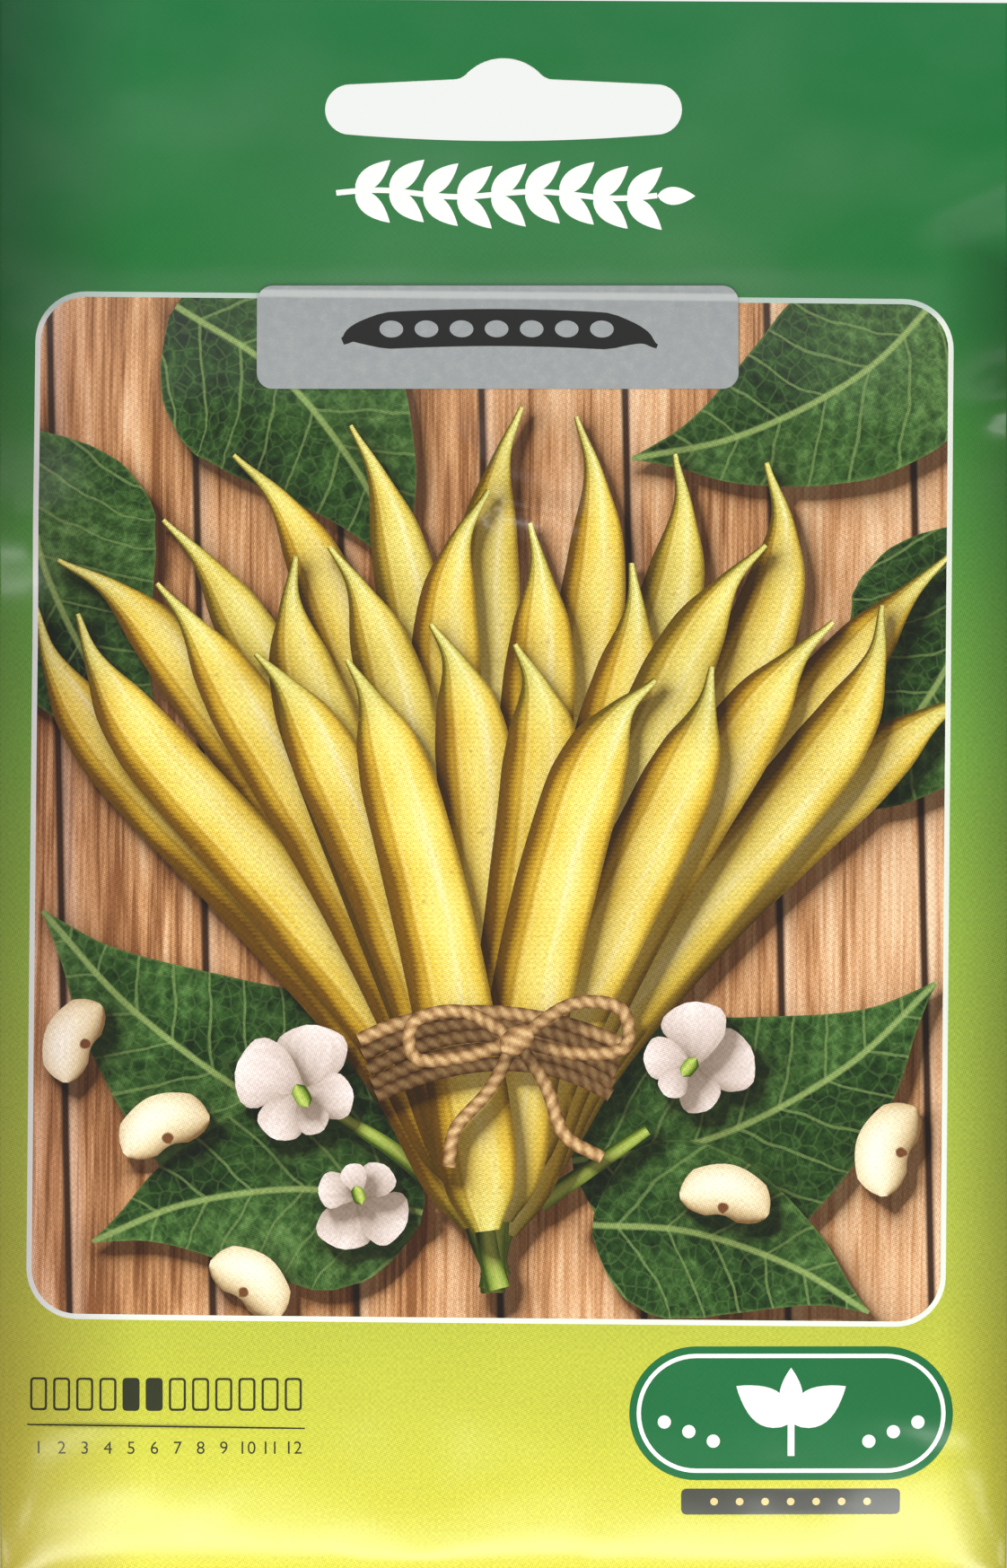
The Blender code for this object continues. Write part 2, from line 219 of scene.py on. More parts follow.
# The studio, in metres and watts. A light: name, place, target, size and power
ROOM_FRONT = (0.53, 0.53, 0.52)
ROOM_BACK = (0.90, 0.92, 0.89)
FLOOR_COLOUR = (0.80, 0.80, 0.78, 1.0)
FLOOR_REACH = 3.0
FLOOR_LEVEL = -0.60
MIDDLE = (0.0, 0.0, -0.07)
FOOT = (0.0, 0.0, -0.13)
LIGHTS = (
    ("front_top", (-0.25, -0.70, 0.50), MIDDLE, (0.5, 0.3), 1.20),
    ("front_sheen", (0.1, -0.80, 0.20), MIDDLE, (0.7, 0.22), 0.6),
    ("front_side", (-0.30, -0.80, -0.40), MIDDLE, (0.34, 0.05), 0.85),
    ("corner_low", (-0.33, -0.40, -0.50), FOOT, (0.12, 0.10), 0.45),
    ("front_side", (0.30, -0.80, -0.40), MIDDLE, (0.34, 0.05), 0.85),
    ("corner_low", (0.33, -0.40, -0.50), FOOT, (0.12, 0.10), 0.45),
    ("front_low", (0.0, -0.38, -0.53), FOOT, (0.40, 0.08), 1.55),
    ("back", (-0.4, 0.8, 0.35), MIDDLE, (0.6, 0.6), 5.0),
)

# Camera: the photo is a scan, taken as 300 dots an inch, so a long lens looks straight at the front
LENS = 200.0
SENSOR = 36.0
PHOTO_SIZE = (1122, 1747)
PHOTO_SCALE = 25.4 / 300.0
PHOTO_ABOVE = 0.2
FRAME_TRIM = 0.998


def ramp(value, start, end):
    """Smooth step from 0 at start to 1 at end."""
    t = np.clip((value - start) / (end - start), 0.0, 1.0)
    return t * t * (3.0 - 2.0 * t)


def hill(distance, reach):
    """Bell that is 1 at no distance and nearly 0 at three reaches."""
    return np.exp(-((distance / reach) ** 2))


def new_object(name, data):
    """A new object, linked to the scene."""
    result = bpy.data.objects.new(name, data)
    bpy.context.scene.collection.objects.link(result)
    return result


# The shape of the packet

def turn_in(z, start):
    """1 above start, falling in a curve to 0 at the bottom fold."""
    return 1.0 - np.clip((start - z) / (start - BOTTOM_FOLD), 0.0, 1.0) ** TURN_POWER


def roll_in(z, start):
    """The same for the front, with an even slope that steepens at the fold's lip."""
    fall = np.clip((start - z) / (start - BOTTOM_FOLD), 0.0, 1.0)
    return 1.0 - (1.0 - LIP_SHARE) * fall**ROLL_POWER - LIP_SHARE * fall**LIP_POWER


def roll_start(x):
    """Height below which the front rolls in to the bottom fold."""
    return FRONT_ROLL - sum(delay * hill(x - delay_x, reach) for delay_x, reach, delay in ROLL_DELAYS)


def pouch_rise(z, early):
    """0 at the shoulder, an early share of the full depth below it, and 1 where the back is full."""
    return early * ramp(z, SHOULDER, FRONT_FULL) + (1.0 - early) * ramp(z, FRONT_FULL, BACK_FULL)


def side_profile(x, power):
    """1 across the middle, rounding over to 0 at the side folds."""
    return 1.0 - np.minimum(np.abs(x) / INNER_HALF, 1.0) ** power


def middle_shift(x, z):
    """How far the middle of the packet lies behind the flat header."""
    shift = BOTTOM_SHIFT * ramp(z, FRONT_TURN, BOTTOM)
    shift = shift + VALLEY_DEPTH * hill(z - VALLEY_Z, VALLEY_REACH) * side_profile(x, 4.0)
    for dent_x, dent_z, half_width, half_height, depth in EDGE_DENTS:
        shift = shift + depth * hill(x - dent_x, half_width) * hill(z - dent_z, half_height)
    return shift - crease_relief(x, z, "both")


def seed_beds():
    """Middle and long direction of each seed as it lies behind the paper, read from the solids."""
    beds = []
    for name, node in sorted(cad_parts.items()):
        if name.startswith("bean_seed"):
            points = np.array([(v.co.x, v.co.z) for v in node.data.vertices]) / MM
            centre = (points.min(0) + points.max(0)) / 2
            _, directions = np.linalg.eigh(np.cov((points - centre).T))
            beds.append((centre, directions[:, 1]))
    return beds


SEED_BEDS = seed_beds()


def line_places(x, z, start, run):
    """How far points lie along a line and across it, both times the length of its run."""
    along = (x - start[0]) * run[0] + (z - start[1]) * run[1]
    across = (z - start[1]) * run[0] - (x - start[0]) * run[1]
    return along, across


def seed_relief(x, z):
    """Soft bumps over the seeds, 1 at their middles."""
    flat = np.ones_like(x)
    for centre, direction in SEED_BEDS:
        along, across = line_places(x, z, centre, direction)
        spread = (along / SEED_REACH[0]) ** 2 + (across / SEED_REACH[1]) ** 2
        flat = flat * (1.0 - np.exp(-(spread**1.25)))
    return 1.0 - flat


def crease_relief(x, z, plies):
    """Soft folds pressed into the front ply, the back ply or both, each along a line."""
    relief = np.zeros_like(x)
    for crease_plies, start, end, half_width, height in CREASES:
        if crease_plies == plies:
            run = np.subtract(end, start)
            length = math.hypot(*run)
            along, across = (part / length for part in line_places(x, z, start, run))
            fade = ramp(along, -1.0, 2.5) * ramp(along, length + 1.0, length * 0.4)
            relief = relief + height * fade * hill(across, half_width)
    return relief


def front_bulge(x, z):
    """How far the front ply stands forward of the header's front ply."""
    rounding = FRONT_ROUNDING + (FOOT_ROUNDING - FRONT_ROUNDING) * ramp(z, FOOT_TOP, FOOT_FULL)
    bulge = FRONT_BULGE * pouch_rise(z, FRONT_EARLY) * side_profile(x, rounding)
    fine = (SEED_PRESS[0] * seed_relief(x, z) + crease_relief(x, z, "front")) * side_profile(x, 20.0)
    return np.maximum((bulge + fine) * roll_in(z, roll_start(x)), 0.0)


def back_bulge(x, z):
    """How far the back ply stands behind the header's back ply."""
    fine = SEED_PRESS[1] * (seed_relief(x, z) - 0.6) * ramp(z, -86.0, -100.0) + crease_relief(x, z, "back")
    bulge = BACK_BULGE * pouch_rise(z, BACK_EARLY) + fine
    return np.maximum(bulge * turn_in(z, BACK_TURN) * side_profile(x, BACK_ROUNDING), 0.0)


def lap_lift(x):
    """1 where the outer end of the web lies on the inner end, 0 clear of the lap."""
    return ramp(x, LAP_START + LAP_STEP, LAP_START)


def section(s):
    """One point of the web's section: x, offset to the back, share of the front and of the back bulge."""
    left = math.pi / 2 - (s - BACK_ARC) / FOLD_RADIUS
    right = -math.pi / 2 + (s - FRONT_END) / FOLD_RADIUS
    outer_x = INNER_HALF - (s - OUTER_START)
    zones = [s < BACK_ARC, s < FRONT_START, s < FRONT_END, s < OUTER_START]
    x = np.select(
        zones,
        [
            LAP_RIGHT - s,
            -INNER_HALF - FOLD_RADIUS * np.cos(left),
            s - FRONT_START - INNER_HALF,
            INNER_HALF + FOLD_RADIUS * np.cos(right),
        ],
        outer_x,
    )
    offset = np.select(
        zones,
        [FOLD_RADIUS, FOLD_RADIUS * np.sin(left), -FOLD_RADIUS, FOLD_RADIUS * np.sin(right)],
        FOLD_RADIUS + PITCH * lap_lift(outer_x),
    )
    front = ((s >= FRONT_START) & (s <= FRONT_END)).astype(float)
    back = ((s <= BACK_ARC) | (s >= OUTER_START)).astype(float)
    return x, offset, front, back


def web_surface(s, v):
    """Folds the flat web: place of the paper's middle for lengths s round the section and v up the web."""
    x, offset, front, back = section(s)
    flap = BOTTOM_FOLD + (FLAP_START - v)
    level = np.select([v >= BOTTOM_FOLD, v >= FLAP_START], [v, BOTTOM_FOLD], flap)
    round_bend = np.clip((BOTTOM_FOLD - v) / BEND_ARC, 0.0, 1.0)
    lean = front * np.arctan(front_bulge(x, BOTTOM_FOLD + LEAN_STEP) / LEAN_STEP)
    turn = lean + (math.pi - lean) * round_bend
    settle = (1.0 - round_bend) * (v < BOTTOM_FOLD)
    bend = PITCH * (1.0 + lap_lift(x))
    middle = middle_shift(x, level)
    behind = back_bulge(x, level)
    z = level + PITCH * lap_lift(x) * ramp(level, BOTTOM_FOLD + FLAP_HEIGHT, BOTTOM_FOLD)
    z = z + (TOP_LEFT - TOP_RIGHT) * (0.5 - x / WIDTH) * ramp(v, 1.0, TOP_RIGHT)
    in_pouch = middle + offset + back * behind - front * front_bulge(x, level)
    in_fold = middle + bend - (bend - offset) * (np.cos(turn) + (1.0 - np.cos(lean)) * settle)
    in_flap = middle + behind + 2.0 * bend - offset
    y = np.select([v >= BOTTOM_FOLD, v >= FLAP_START], [in_pouch, in_fold], in_flap)
    z = z - (bend - offset) * (np.sin(turn) - np.sin(lean) * settle) * (v < BOTTOM_FOLD)
    return np.stack((x, y, z), axis=-1)


def web_normal(s, v):
    """Outward normal of the folded web, from small steps each way."""
    step = 0.04
    along_s = web_surface(s + step, v) - web_surface(s - step, v)
    along_v = web_surface(s, v + step) - web_surface(s, v - step)
    normal = np.cross(along_s, along_v)
    return normal / np.linalg.norm(normal, axis=-1, keepdims=True)


# Outlines, all of them lists of points in millimetres, x to the right and z up on the front

def arc(centre, radius, start, end, steps):
    """Points along an arc, with angles in degrees from +X towards +Z."""
    turns = np.radians(np.linspace(start, end, steps + 1))
    return np.stack((centre[0] + radius * np.cos(turns), centre[1] + radius * np.sin(turns)), axis=-1)


def rounded_rectangle(centre, size, corner, steps=10):
    """Closed outline of a rectangle with round corners, anticlockwise."""
    half_x, half_z = size[0] / 2 - corner, size[1] / 2 - corner
    corners = ((half_x, half_z, 0), (-half_x, half_z, 90), (-half_x, -half_z, 180), (half_x, -half_z, 270))
    parts = [arc((centre[0] + x, centre[1] + z), corner, a, a + 90, steps) for x, z, a in corners]
    return np.concatenate(parts)


def turned(points, angle, centre):
    """Points turned by an angle in degrees about the origin, then moved to a centre."""
    c, s = math.cos(math.radians(angle)), math.sin(math.radians(angle))
    points = np.asarray(points, float)
    return points @ np.array(((c, s), (-s, c))) + np.asarray(centre, float)


def slot_outline():
    """Hang slot: a wide slot with bowed long edges and a round bump for the peg."""
    end_radius = (SLOT_TOP_END - SLOT_LOW_END) / 2
    end_z = (SLOT_TOP_END + SLOT_LOW_END) / 2
    end_x = SLOT_HALF - end_radius
    half_angle = math.degrees(math.acos((SLOT_TOP + BUMP_RADIUS) / BUMP_RADIUS))
    corner = np.array((-BUMP_RADIUS * math.sin(math.radians(half_angle)), SLOT_TOP))
    kept_angle = half_angle * BUMP_ARC_SHARE
    bump = arc((0.0, -BUMP_RADIUS), BUMP_RADIUS, 90.0 - kept_angle, 90.0 + kept_angle, 20)
    shoulder = corner + (-BUMP_CORNER, -BUMP_CORNER_DROP)
    t = np.linspace(0.0, 1.0, 7)[1:, None]
    left = (1 - t) ** 2 * bump[-1] + 2 * t * (1 - t) * corner + t**2 * shoulder
    right = (left * (-1, 1))[::-1]
    lower_x = np.linspace(-end_x, end_x, 26)[1:-1]
    lower_z = SLOT_LOW + (SLOT_LOW_END - SLOT_LOW) * (lower_x / end_x) ** 2
    lower = np.stack((lower_x, lower_z), axis=-1)
    left_end = arc((-end_x, end_z), end_radius, 90.0, 270.0, 16)
    right_end = arc((end_x, end_z), end_radius, -90.0, 90.0, 16)
    return np.concatenate((bump, left, left_end, lower, right_end, right))


def curve_through(points, count):
    """Smooth curve through a few points, with evenly counted steps between them."""
    points = np.asarray(points, float)
    padded = np.concatenate((2 * points[:1] - points[1:2], points, 2 * points[-1:] - points[-2:-1]))
    result = []
    for a, b, c, d in zip(padded, padded[1:], padded[2:], padded[3:]):
        for t in np.linspace(0.0, 1.0, count, endpoint=False):
            square = (2 * a - 5 * b + 4 * c - d) * t**2
            cube = (3 * b - a - 3 * c + d) * t**3
            result.append(0.5 * (2 * b + (c - a) * t + square + cube))
    result.append(points[-1])
    return np.array(result)


class Ribbon:
    """A printed shape that follows a spine with a half width that changes along it."""

    def __init__(self, spine, profile, half_width, ink, luck=0.5):
        self.spine = np.asarray(spine, float)
        steps = np.linalg.norm(np.diff(self.spine, axis=0), axis=1)
        self.along = np.concatenate(((0.0,), np.cumsum(steps)))
        self.length = self.along[-1]
        fractions = self.along / self.length
        self.half = half_width * np.interp(fractions, *np.array(profile).T)
        self.ink = ink
        self.luck = luck
        tangent = np.gradient(self.spine, self.along, axis=0)
        tangent /= np.linalg.norm(tangent, axis=1, keepdims=True)
        self.normal = np.stack((-tangent[:, 1], tangent[:, 0]), axis=-1)

    def outline(self, grow=0.0):
        """Closed outline, grown by a distance."""
        half = (self.half + grow)[:, None]
        one_side = self.spine + self.normal * half
        other_side = self.spine - self.normal * half
        return np.concatenate((one_side, other_side[::-1]))

    def measure(self, points):
        """Distance across (signed), distance along, half width there, and distance outside the outline."""
        start, end = self.spine[:-1], self.spine[1:]
        run = end - start
        size = (run**2).sum(1)
        offset = points[:, None, :] - start[None]
        t = np.clip((offset * run[None]).sum(2) / size, 0.0, 1.0)
        gap = offset - t[..., None] * run[None]
        distance = np.linalg.norm(gap, axis=2)
        pick = distance.argmin(1)
        rows = np.arange(len(points))
        t, gap, distance = t[rows, pick], gap[rows, pick], distance[rows, pick]
        side = np.sign((gap * self.normal[pick]).sum(1))
        along = self.along[pick] + t * (self.along[pick + 1] - self.along[pick])
        half = self.half[pick] + t * (self.half[pick + 1] - self.half[pick])
        return distance * side, along, half, distance - half


class Patch:
    """A printed shape of one flat ink, with one or more closed outlines that may hold each other."""

    def __init__(self, loops, colour):
        self.loops = [np.asarray(loop, float) for loop in loops]
        self.colour = colour
        self.ink = "flat"


def smooth_profile(points, samples=80):
    """A half-width profile as many points of a smooth curve through a few."""
    fractions, values = np.array(points).T
    fine = np.linspace(0.0, 1.0, samples)
    rough = np.interp(fine, fractions, values)
    kernel = np.hanning(7)
    padded = np.pad(rough, 3, mode="edge")
    soft = np.convolve(padded, kernel / kernel.sum(), mode="valid")
    return list(zip(fine, soft))


POD_PROFILE = smooth_profile(
    ((0.0, 0.30), (0.02, 0.5), (0.06, 0.86), (0.12, 0.98), (0.3, 1.0), (0.6, 1.0), (0.78, 0.94),
     (0.86, 0.72), (0.91, 0.36), (0.95, 0.17), (1.0, 0.06))
)
LEAF_PROFILE = smooth_profile(
    ((0.0, 0.05), (0.03, 0.42), (0.1, 0.78), (0.2, 0.96), (0.3, 1.0), (0.45, 0.9), (0.6, 0.68),
     (0.75, 0.42), (0.87, 0.18), (0.95, 0.07), (1.0, 0.01))
)
PETAL_PROFILE = smooth_profile(
    ((0.0, 0.2), (0.2, 0.5), (0.5, 0.92), (0.7, 1.0), (0.85, 0.86), (0.95, 0.5), (1.0, 0.12))
)
BEAN_PROFILE = smooth_profile(
    ((0.0, 0.1), (0.06, 0.55), (0.2, 0.92), (0.5, 1.0), (0.8, 0.92), (0.94, 0.55), (1.0, 0.1))
)
STALK_PROFILE = ((0.0, 1.0), (0.7, 0.8), (1.0, 0.6))
CORD_PROFILE = ((0.0, 1.0), (1.0, 1.0))


def from_pivot(pivot, radius, angle):
    """Point at a distance from a pivot, at an angle in degrees from straight up."""
    turn = math.radians(angle)
    return (pivot[0] + radius * math.sin(turn), pivot[1] + radius * math.cos(turn))


def pod(pivot, angle, reach, foot, sway, half_width, luck):
    """One pod of the sheaf, from its foot below the tie to its beak."""
    points = [
        from_pivot(pivot, foot, 0.40 * angle),
        from_pivot(pivot, foot + 0.22 * (reach - foot), 0.62 * angle + 0.3 * sway),
        from_pivot(pivot, foot + 0.5 * (reach - foot), 0.86 * angle + sway),
        from_pivot(pivot, foot + 0.78 * (reach - foot), 1.0 * angle + 0.7 * sway),
        from_pivot(pivot, foot + 0.92 * (reach - foot), 1.03 * angle - 0.2 * sway),
        from_pivot(pivot, reach, 1.04 * angle - 1.6 * sway),
    ]
    return Ribbon(curve_through(points, 12), POD_PROFILE, half_width, "pod", luck)


def leaf(base, tip, bow, half_width, luck):
    """One leaflet from its stalk end to its drip tip, with its midrib bowed sideways."""
    base, tip = np.array(base, float), np.array(tip, float)
    run = tip - base
    side = np.array((-run[1], run[0]))
    points = [base, base + 0.33 * run + bow * side, base + 0.7 * run + bow * 0.9 * side, tip]
    return Ribbon(curve_through(points, 14), LEAF_PROFILE, half_width, "leaf", luck)


def stalk(points, half_width, luck=0.5):
    """A green stalk along a few points."""
    return Ribbon(curve_through(points, 8), STALK_PROFILE, half_width, "stalk", luck)


def sheaf_of_pods(draw):
    """A fan of pods tied near the foot, in rows that get shorter to the front."""
    shapes = []
    for count, widest, row_reach, row_half in POD_ROWS:
        angles = np.linspace(-widest, widest, count) + draw.uniform(-1.0, 1.0, count)
        for angle in draw.permutation(angles):
            side_reach = POD_SIDE_REACH / max(math.sin(math.radians(abs(angle) * 1.04)), 0.1)
            reach = min(row_reach, side_reach) + draw.uniform(-4.0, 2.0)
            foot = 9.0 + draw.uniform(-3.0, 2.5)
            sway = draw.uniform(0.6, 2.0) * draw.choice((-1.0, 1.0))
            luck = draw.random()
            piece = pod(PIVOT, angle, reach, foot, sway, row_half * draw.uniform(0.92, 1.06), luck)
            cut = piece.spine[0]
            back = piece.spine[0] - piece.spine[3]
            back = back / np.linalg.norm(back)
            route = (cut + back * 5.5 + (0.4, 0.0), cut + back * 2.4, cut - back * 1.4)
            shapes += [stalk(route, 1.15, luck), piece]
    return shapes


def tie():
    """The cord round the sheaf, with a bow and two loose ends."""
    shapes = []
    for n in range(5):
        radius = 22.0 + 1.25 * n
        turns = np.linspace(-30.0 + 0.6 * n, 30.0 - 0.8 * n, 24)
        spine = [from_pivot(PIVOT, radius + 0.25 * math.sin(0.9 * n + t * 0.08), t) for t in turns]
        shapes.append(Ribbon(spine, CORD_PROFILE, 0.66, "cord", 0.2 * n))
    knot = np.array(from_pivot(PIVOT, 24.4, 5.0))
    runs = (
        ((0, 0), (-5.0, 2.6), (-9.6, 1.6), (-9.4, -1.8), (-4.8, -1.6), (0, 0)),
        ((0, 0), (5.2, 3.4), (9.8, 3.0), (10.2, -0.6), (5.4, -1.2), (0, 0)),
        ((0, 0), (-2.4, -4.6), (-5.6, -8.4), (-6.2, -12.0)),
        ((0, 0), (2.8, -4.2), (4.6, -8.8), (8.2, -11.0)),
    )
    for n, run in enumerate(runs):
        spine = curve_through(np.array(run) + knot, 9)
        shapes.append(Ribbon(spine, CORD_PROFILE, 0.62, "cord", 0.3 + 0.1 * n))
    cross = (knot + (-1.3, -1.1), knot + (0.2, 0.1), knot + (1.5, 1.0))
    shapes.append(Ribbon(curve_through(cross, 6), BEAN_PROFILE, 1.25, "cord", 0.9))
    return shapes


def blossom(centre, size, turn, luck):
    """A small pea-family flower: a broad standard of two lobes, two wings and a keel."""
    # Angle, length and half width of each lobe
    lobes = (
        (38.0, 1.0, 0.52),
        (-38.0, 1.0, 0.52),
        (118.0, 0.74, 0.34),
        (-118.0, 0.74, 0.34),
        (180.0, 0.6, 0.24),
    )
    shapes = []
    for angle, length, half in lobes:
        tip = from_pivot(centre, size * length, angle + turn)
        bend = from_pivot(centre, size * length * 0.5, angle + turn + 7.0)
        spine = curve_through((centre, bend, tip), 9)
        shapes.append(Ribbon(spine, PETAL_PROFILE, size * half, "petal", luck))
    eye = curve_through((from_pivot(centre, 0.16 * size, turn), from_pivot(centre, -0.2 * size, turn)), 5)
    shapes.append(Ribbon(eye, BEAN_PROFILE, 0.12 * size, "stalk", luck))
    return shapes


def loose_bean(centre, angle, size, luck):
    """A kidney-shaped seed lying on the boards."""
    half = 0.5 * size
    points = turned(((-half, -0.14 * size), (0.0, 0.05 * size), (half, -0.14 * size)), angle, centre)
    return Ribbon(curve_through(points, 10), BEAN_PROFILE, 0.29 * size, "bean", luck)


def picture_shapes():
    """Everything in the picture panel, lowest first, in panel coordinates."""
    draw = np.random.default_rng(5)
    pods = sheaf_of_pods(draw)
    leaves = [leaf(*row) for row in (
        ((-30.0, 47.0), (-8.0, 21.0), 0.10, 11.0, 0.35),
        ((-44.0, 35.0), (-30.0, 4.0), -0.10, 11.5, 0.15),
        ((43.0, 50.0), (13.0, 33.0), 0.10, 10.0, 0.75),
        ((46.0, 27.0), (29.0, -1.0), 0.12, 11.0, 0.55),
        ((-7.0, -33.0), (-42.0, -10.0), 0.08, 11.5, 0.62),
        ((8.0, -33.0), (42.0, -16.0), -0.10, 12.0, 0.25),
        ((-6.0, -38.0), (-37.0, -41.0), -0.10, 9.5, 0.85),
        ((10.0, -39.0), (36.0, -47.0), 0.08, 8.5, 0.45),
    )]
    stalks = [
        stalk(((-4.0, -36.0), (-9.0, -32.0), (-14.0, -29.0)), 0.9),
        stalk(((5.0, -37.0), (10.0, -33.5), (15.0, -30.0)), 0.9),
    ]
    beans = [loose_bean(*row) for row in (
        ((-30.5, -30.0), 24.0, 8.6, 0.1),
        ((-22.0, -44.6), -38.0, 8.2, 0.7),
        ((37.6, -31.5), 71.0, 8.8, 0.4),
        ((22.5, -36.0), -12.0, 8.4, 0.9),
        ((-39.0, -22.0), 66.0, 8.0, 0.3),
    )]
    flowers = blossom((-17.5, -27.0), 6.6, -30.0, 0.3) + blossom((19.0, -24.0), 6.0, 38.0, 0.6)
    flowers += blossom((-12.0, -36.5), 5.2, 160.0, 0.8)
    return leaves + stalks + beans + pods + tie() + flowers


# Flat print on the front and the back

def ellipse(centre, half_x, half_z, angle=0.0, steps=28):
    """Closed outline of an ellipse."""
    turns = np.linspace(0.0, 2 * math.pi, steps, endpoint=False)
    return turned(np.stack((half_x * np.cos(turns), half_z * np.sin(turns)), axis=-1), angle, centre)


def blade(centre, length, half_width, angle):
    """A small plain leaf shape from its foot, pointing at an angle from +X."""
    t = np.linspace(0.0, 1.0, 12)
    rise = half_width * np.sin(math.pi * t**0.8) ** 0.9
    upper = np.stack((length * t, rise), axis=-1)
    lower = np.stack((length * t, -rise), axis=-1)[::-1][1:-1]
    return turned(np.concatenate((upper, lower)), angle, centre)


def bar(start, end, half_width):
    """A straight line of ink."""
    start, end = np.array(start, float), np.array(end, float)
    run = (end - start) / np.linalg.norm(end - start)
    side = np.array((-run[1], run[0])) * half_width
    return np.array((start + side, start - side, end - side, end + side))


def inked(loops, colour):
    """A patch of ink for each outline."""
    return [Patch([loop], colour) for loop in loops]


def digit_loops(text, height, centre):
    """Closed outlines of digits in Blender's own font, centred on a point."""
    curve = bpy.data.curves.new("digits", "FONT")
    curve.body = text
    curve.size = height / DIGIT_SHARE
    curve.align_x = "CENTER"
    curve.resolution_u = 3
    carrier = new_object("digits", curve)
    mesh = bpy.data.meshes.new_from_object(carrier.evaluated_get(bpy.context.evaluated_depsgraph_get()))
    uses = {}
    for polygon in mesh.polygons:
        for key in polygon.edge_keys:
            uses[key] = uses.get(key, 0) + 1
    following = {}
    for a, b in (key for key, count in uses.items() if count == 1):
        following.setdefault(a, []).append(b)
        following.setdefault(b, []).append(a)
    loops = []
    while following:
        loop, at = [], next(iter(following))
        while at in following:
            loop.append(mesh.vertices[at].co[:2])
            neighbours = following.pop(at)
            at = next((n for n in neighbours if n in following), None)
        loops.append(np.array(loop, float) + centre - (0.0, height / 2))
    bpy.data.objects.remove(carrier)
    bpy.data.curves.remove(curve)
    bpy.data.meshes.remove(mesh)
    return [loop for loop in loops if len(loop) > 2]


def header_mark():
    """A white twig with leaves on both sides, in the header."""
    half = TWIG_LENGTH / 2
    x = np.linspace(-half, half, 40)
    twig = np.stack((x, TWIG_SWAY * np.sin(x * TWIG_TURN)), axis=-1)
    loops = [Ribbon(twig, CORD_PROFILE, 0.26, "flat").outline()]
    for n in range(9):
        foot_x = -half + 1.8 + n * (2 * half - 4.6) / 8
        foot = (foot_x, TWIG_SWAY * math.sin(foot_x * TWIG_TURN))
        loops += [blade(foot, 4.4, 0.95, side * 42.0) for side in (1, -1)]
    loops.append(blade((half, 0.0), 3.6, 0.85, 0.0))
    return inked([turned(loop, PANEL_TURN, HEADER_MARK) for loop in loops], INK_WHITE)


def sowing_scale(centre, width, ink, filled):
    """A row of month numbers under a rule, with a small box above each, filled or open."""
    step = width / 12
    left = centre[0] - width / 2
    shapes = inked([bar((left, centre[1]), (left + width, centre[1] - 0.3), 0.07)], ink)
    for month in range(1, 13):
        x = left + (month - 0.5) * step
        box = rounded_rectangle((x, centre[1] + 2.9), (step * 0.74, 3.1), 0.35, 3)
        inner = rounded_rectangle((x, centre[1] + 2.9), (step * 0.74 - 0.44, 2.66), 0.18, 3)
        shapes.append(Patch([box] if month in filled else [box, inner], ink))
        shapes.append(Patch(digit_loops(str(month), SCALE_DIGIT, (x, centre[1] - 2.1)), ink))
    return shapes


def badge(centre):
    """A plain green badge with a white line and a sprout, over a small grey bar."""
    x, z = centre
    plate = rounded_rectangle(centre, (30.4, 12.6), 6.3, 14)
    line = rounded_rectangle(centre, (29.0, 11.2), 5.6, 14)
    inside = rounded_rectangle(centre, (28.2, 10.4), 5.2, 14)
    marks = [bar((x, z - 4.0), (x, z + 0.2), 0.32)]
    marks += [blade((x, z - 0.9), 6.2, 1.75, angle) for angle in (34.0, 146.0)]
    marks.append(blade((x, z - 0.3), 4.6, 1.1, 90.0))
    for side in (-1, 1):
        marks += [ellipse((x + side * (7.3 + 2.3 * n), z - 2.6 + 0.9 * n), 0.62, 0.62) for n in range(3)]
    strip = rounded_rectangle((x, z - 8.35), (20.6, 2.5), 0.5, 4)
    dots = [ellipse((x - 7.2 + 2.4 * n, z - 8.35), 0.36, 0.36) for n in range(7)]
    shapes = [Patch([plate], INK_GREEN), Patch([line, inside], INK_WHITE)]
    return shapes + inked(marks, INK_WHITE) + inked([strip], INK_GREY) + inked(dots, INK_SAND)


def front_print():
    """Flat ink outside the panel on the front."""
    return header_mark() + sowing_scale(FRONT_SCALE, FRONT_SCALE_WIDTH, INK_DARK, SOWN) + badge(BADGE)


def word_lines(left, top, width, count, draw):
    """Lines of short dashes, in place of a text."""
    loops = []
    for line in range(count):
        x, z = left, top - 1.9 * line
        end = left + width * (1.0 if line < count - 1 else 0.55)
        while x < end - 1.2:
            word = min(draw.uniform(1.2, 4.6), end - x)
            loops.append(bar((x, z), (x + word, z), 0.28))
            x += word + 0.8
    return inked(loops, INK_LEAF)


def arrow(start, end):
    """A thin line with a head at both ends."""
    start, end = np.array(start, float), np.array(end, float)
    run = (end - start) / np.linalg.norm(end - start)
    side = np.array((-run[1], run[0])) * 0.5
    loops = [bar(start + run * 1.1, end - run * 1.1, 0.12)]
    for tip, way in ((start, -run), (end, run)):
        foot = tip - way * 1.1
        loops.append(np.array((tip, foot + side, foot - side)))
    return loops


def seedling(foot, size):
    """A sprout with two leaves on a short stem."""
    top = (foot[0], foot[1] + 0.62 * size)
    leaves = [blade(top, 0.55 * size, 0.17 * size, turn) for turn in (35.0, 145.0)]
    return [bar(foot, top, 0.05 * size)] + leaves


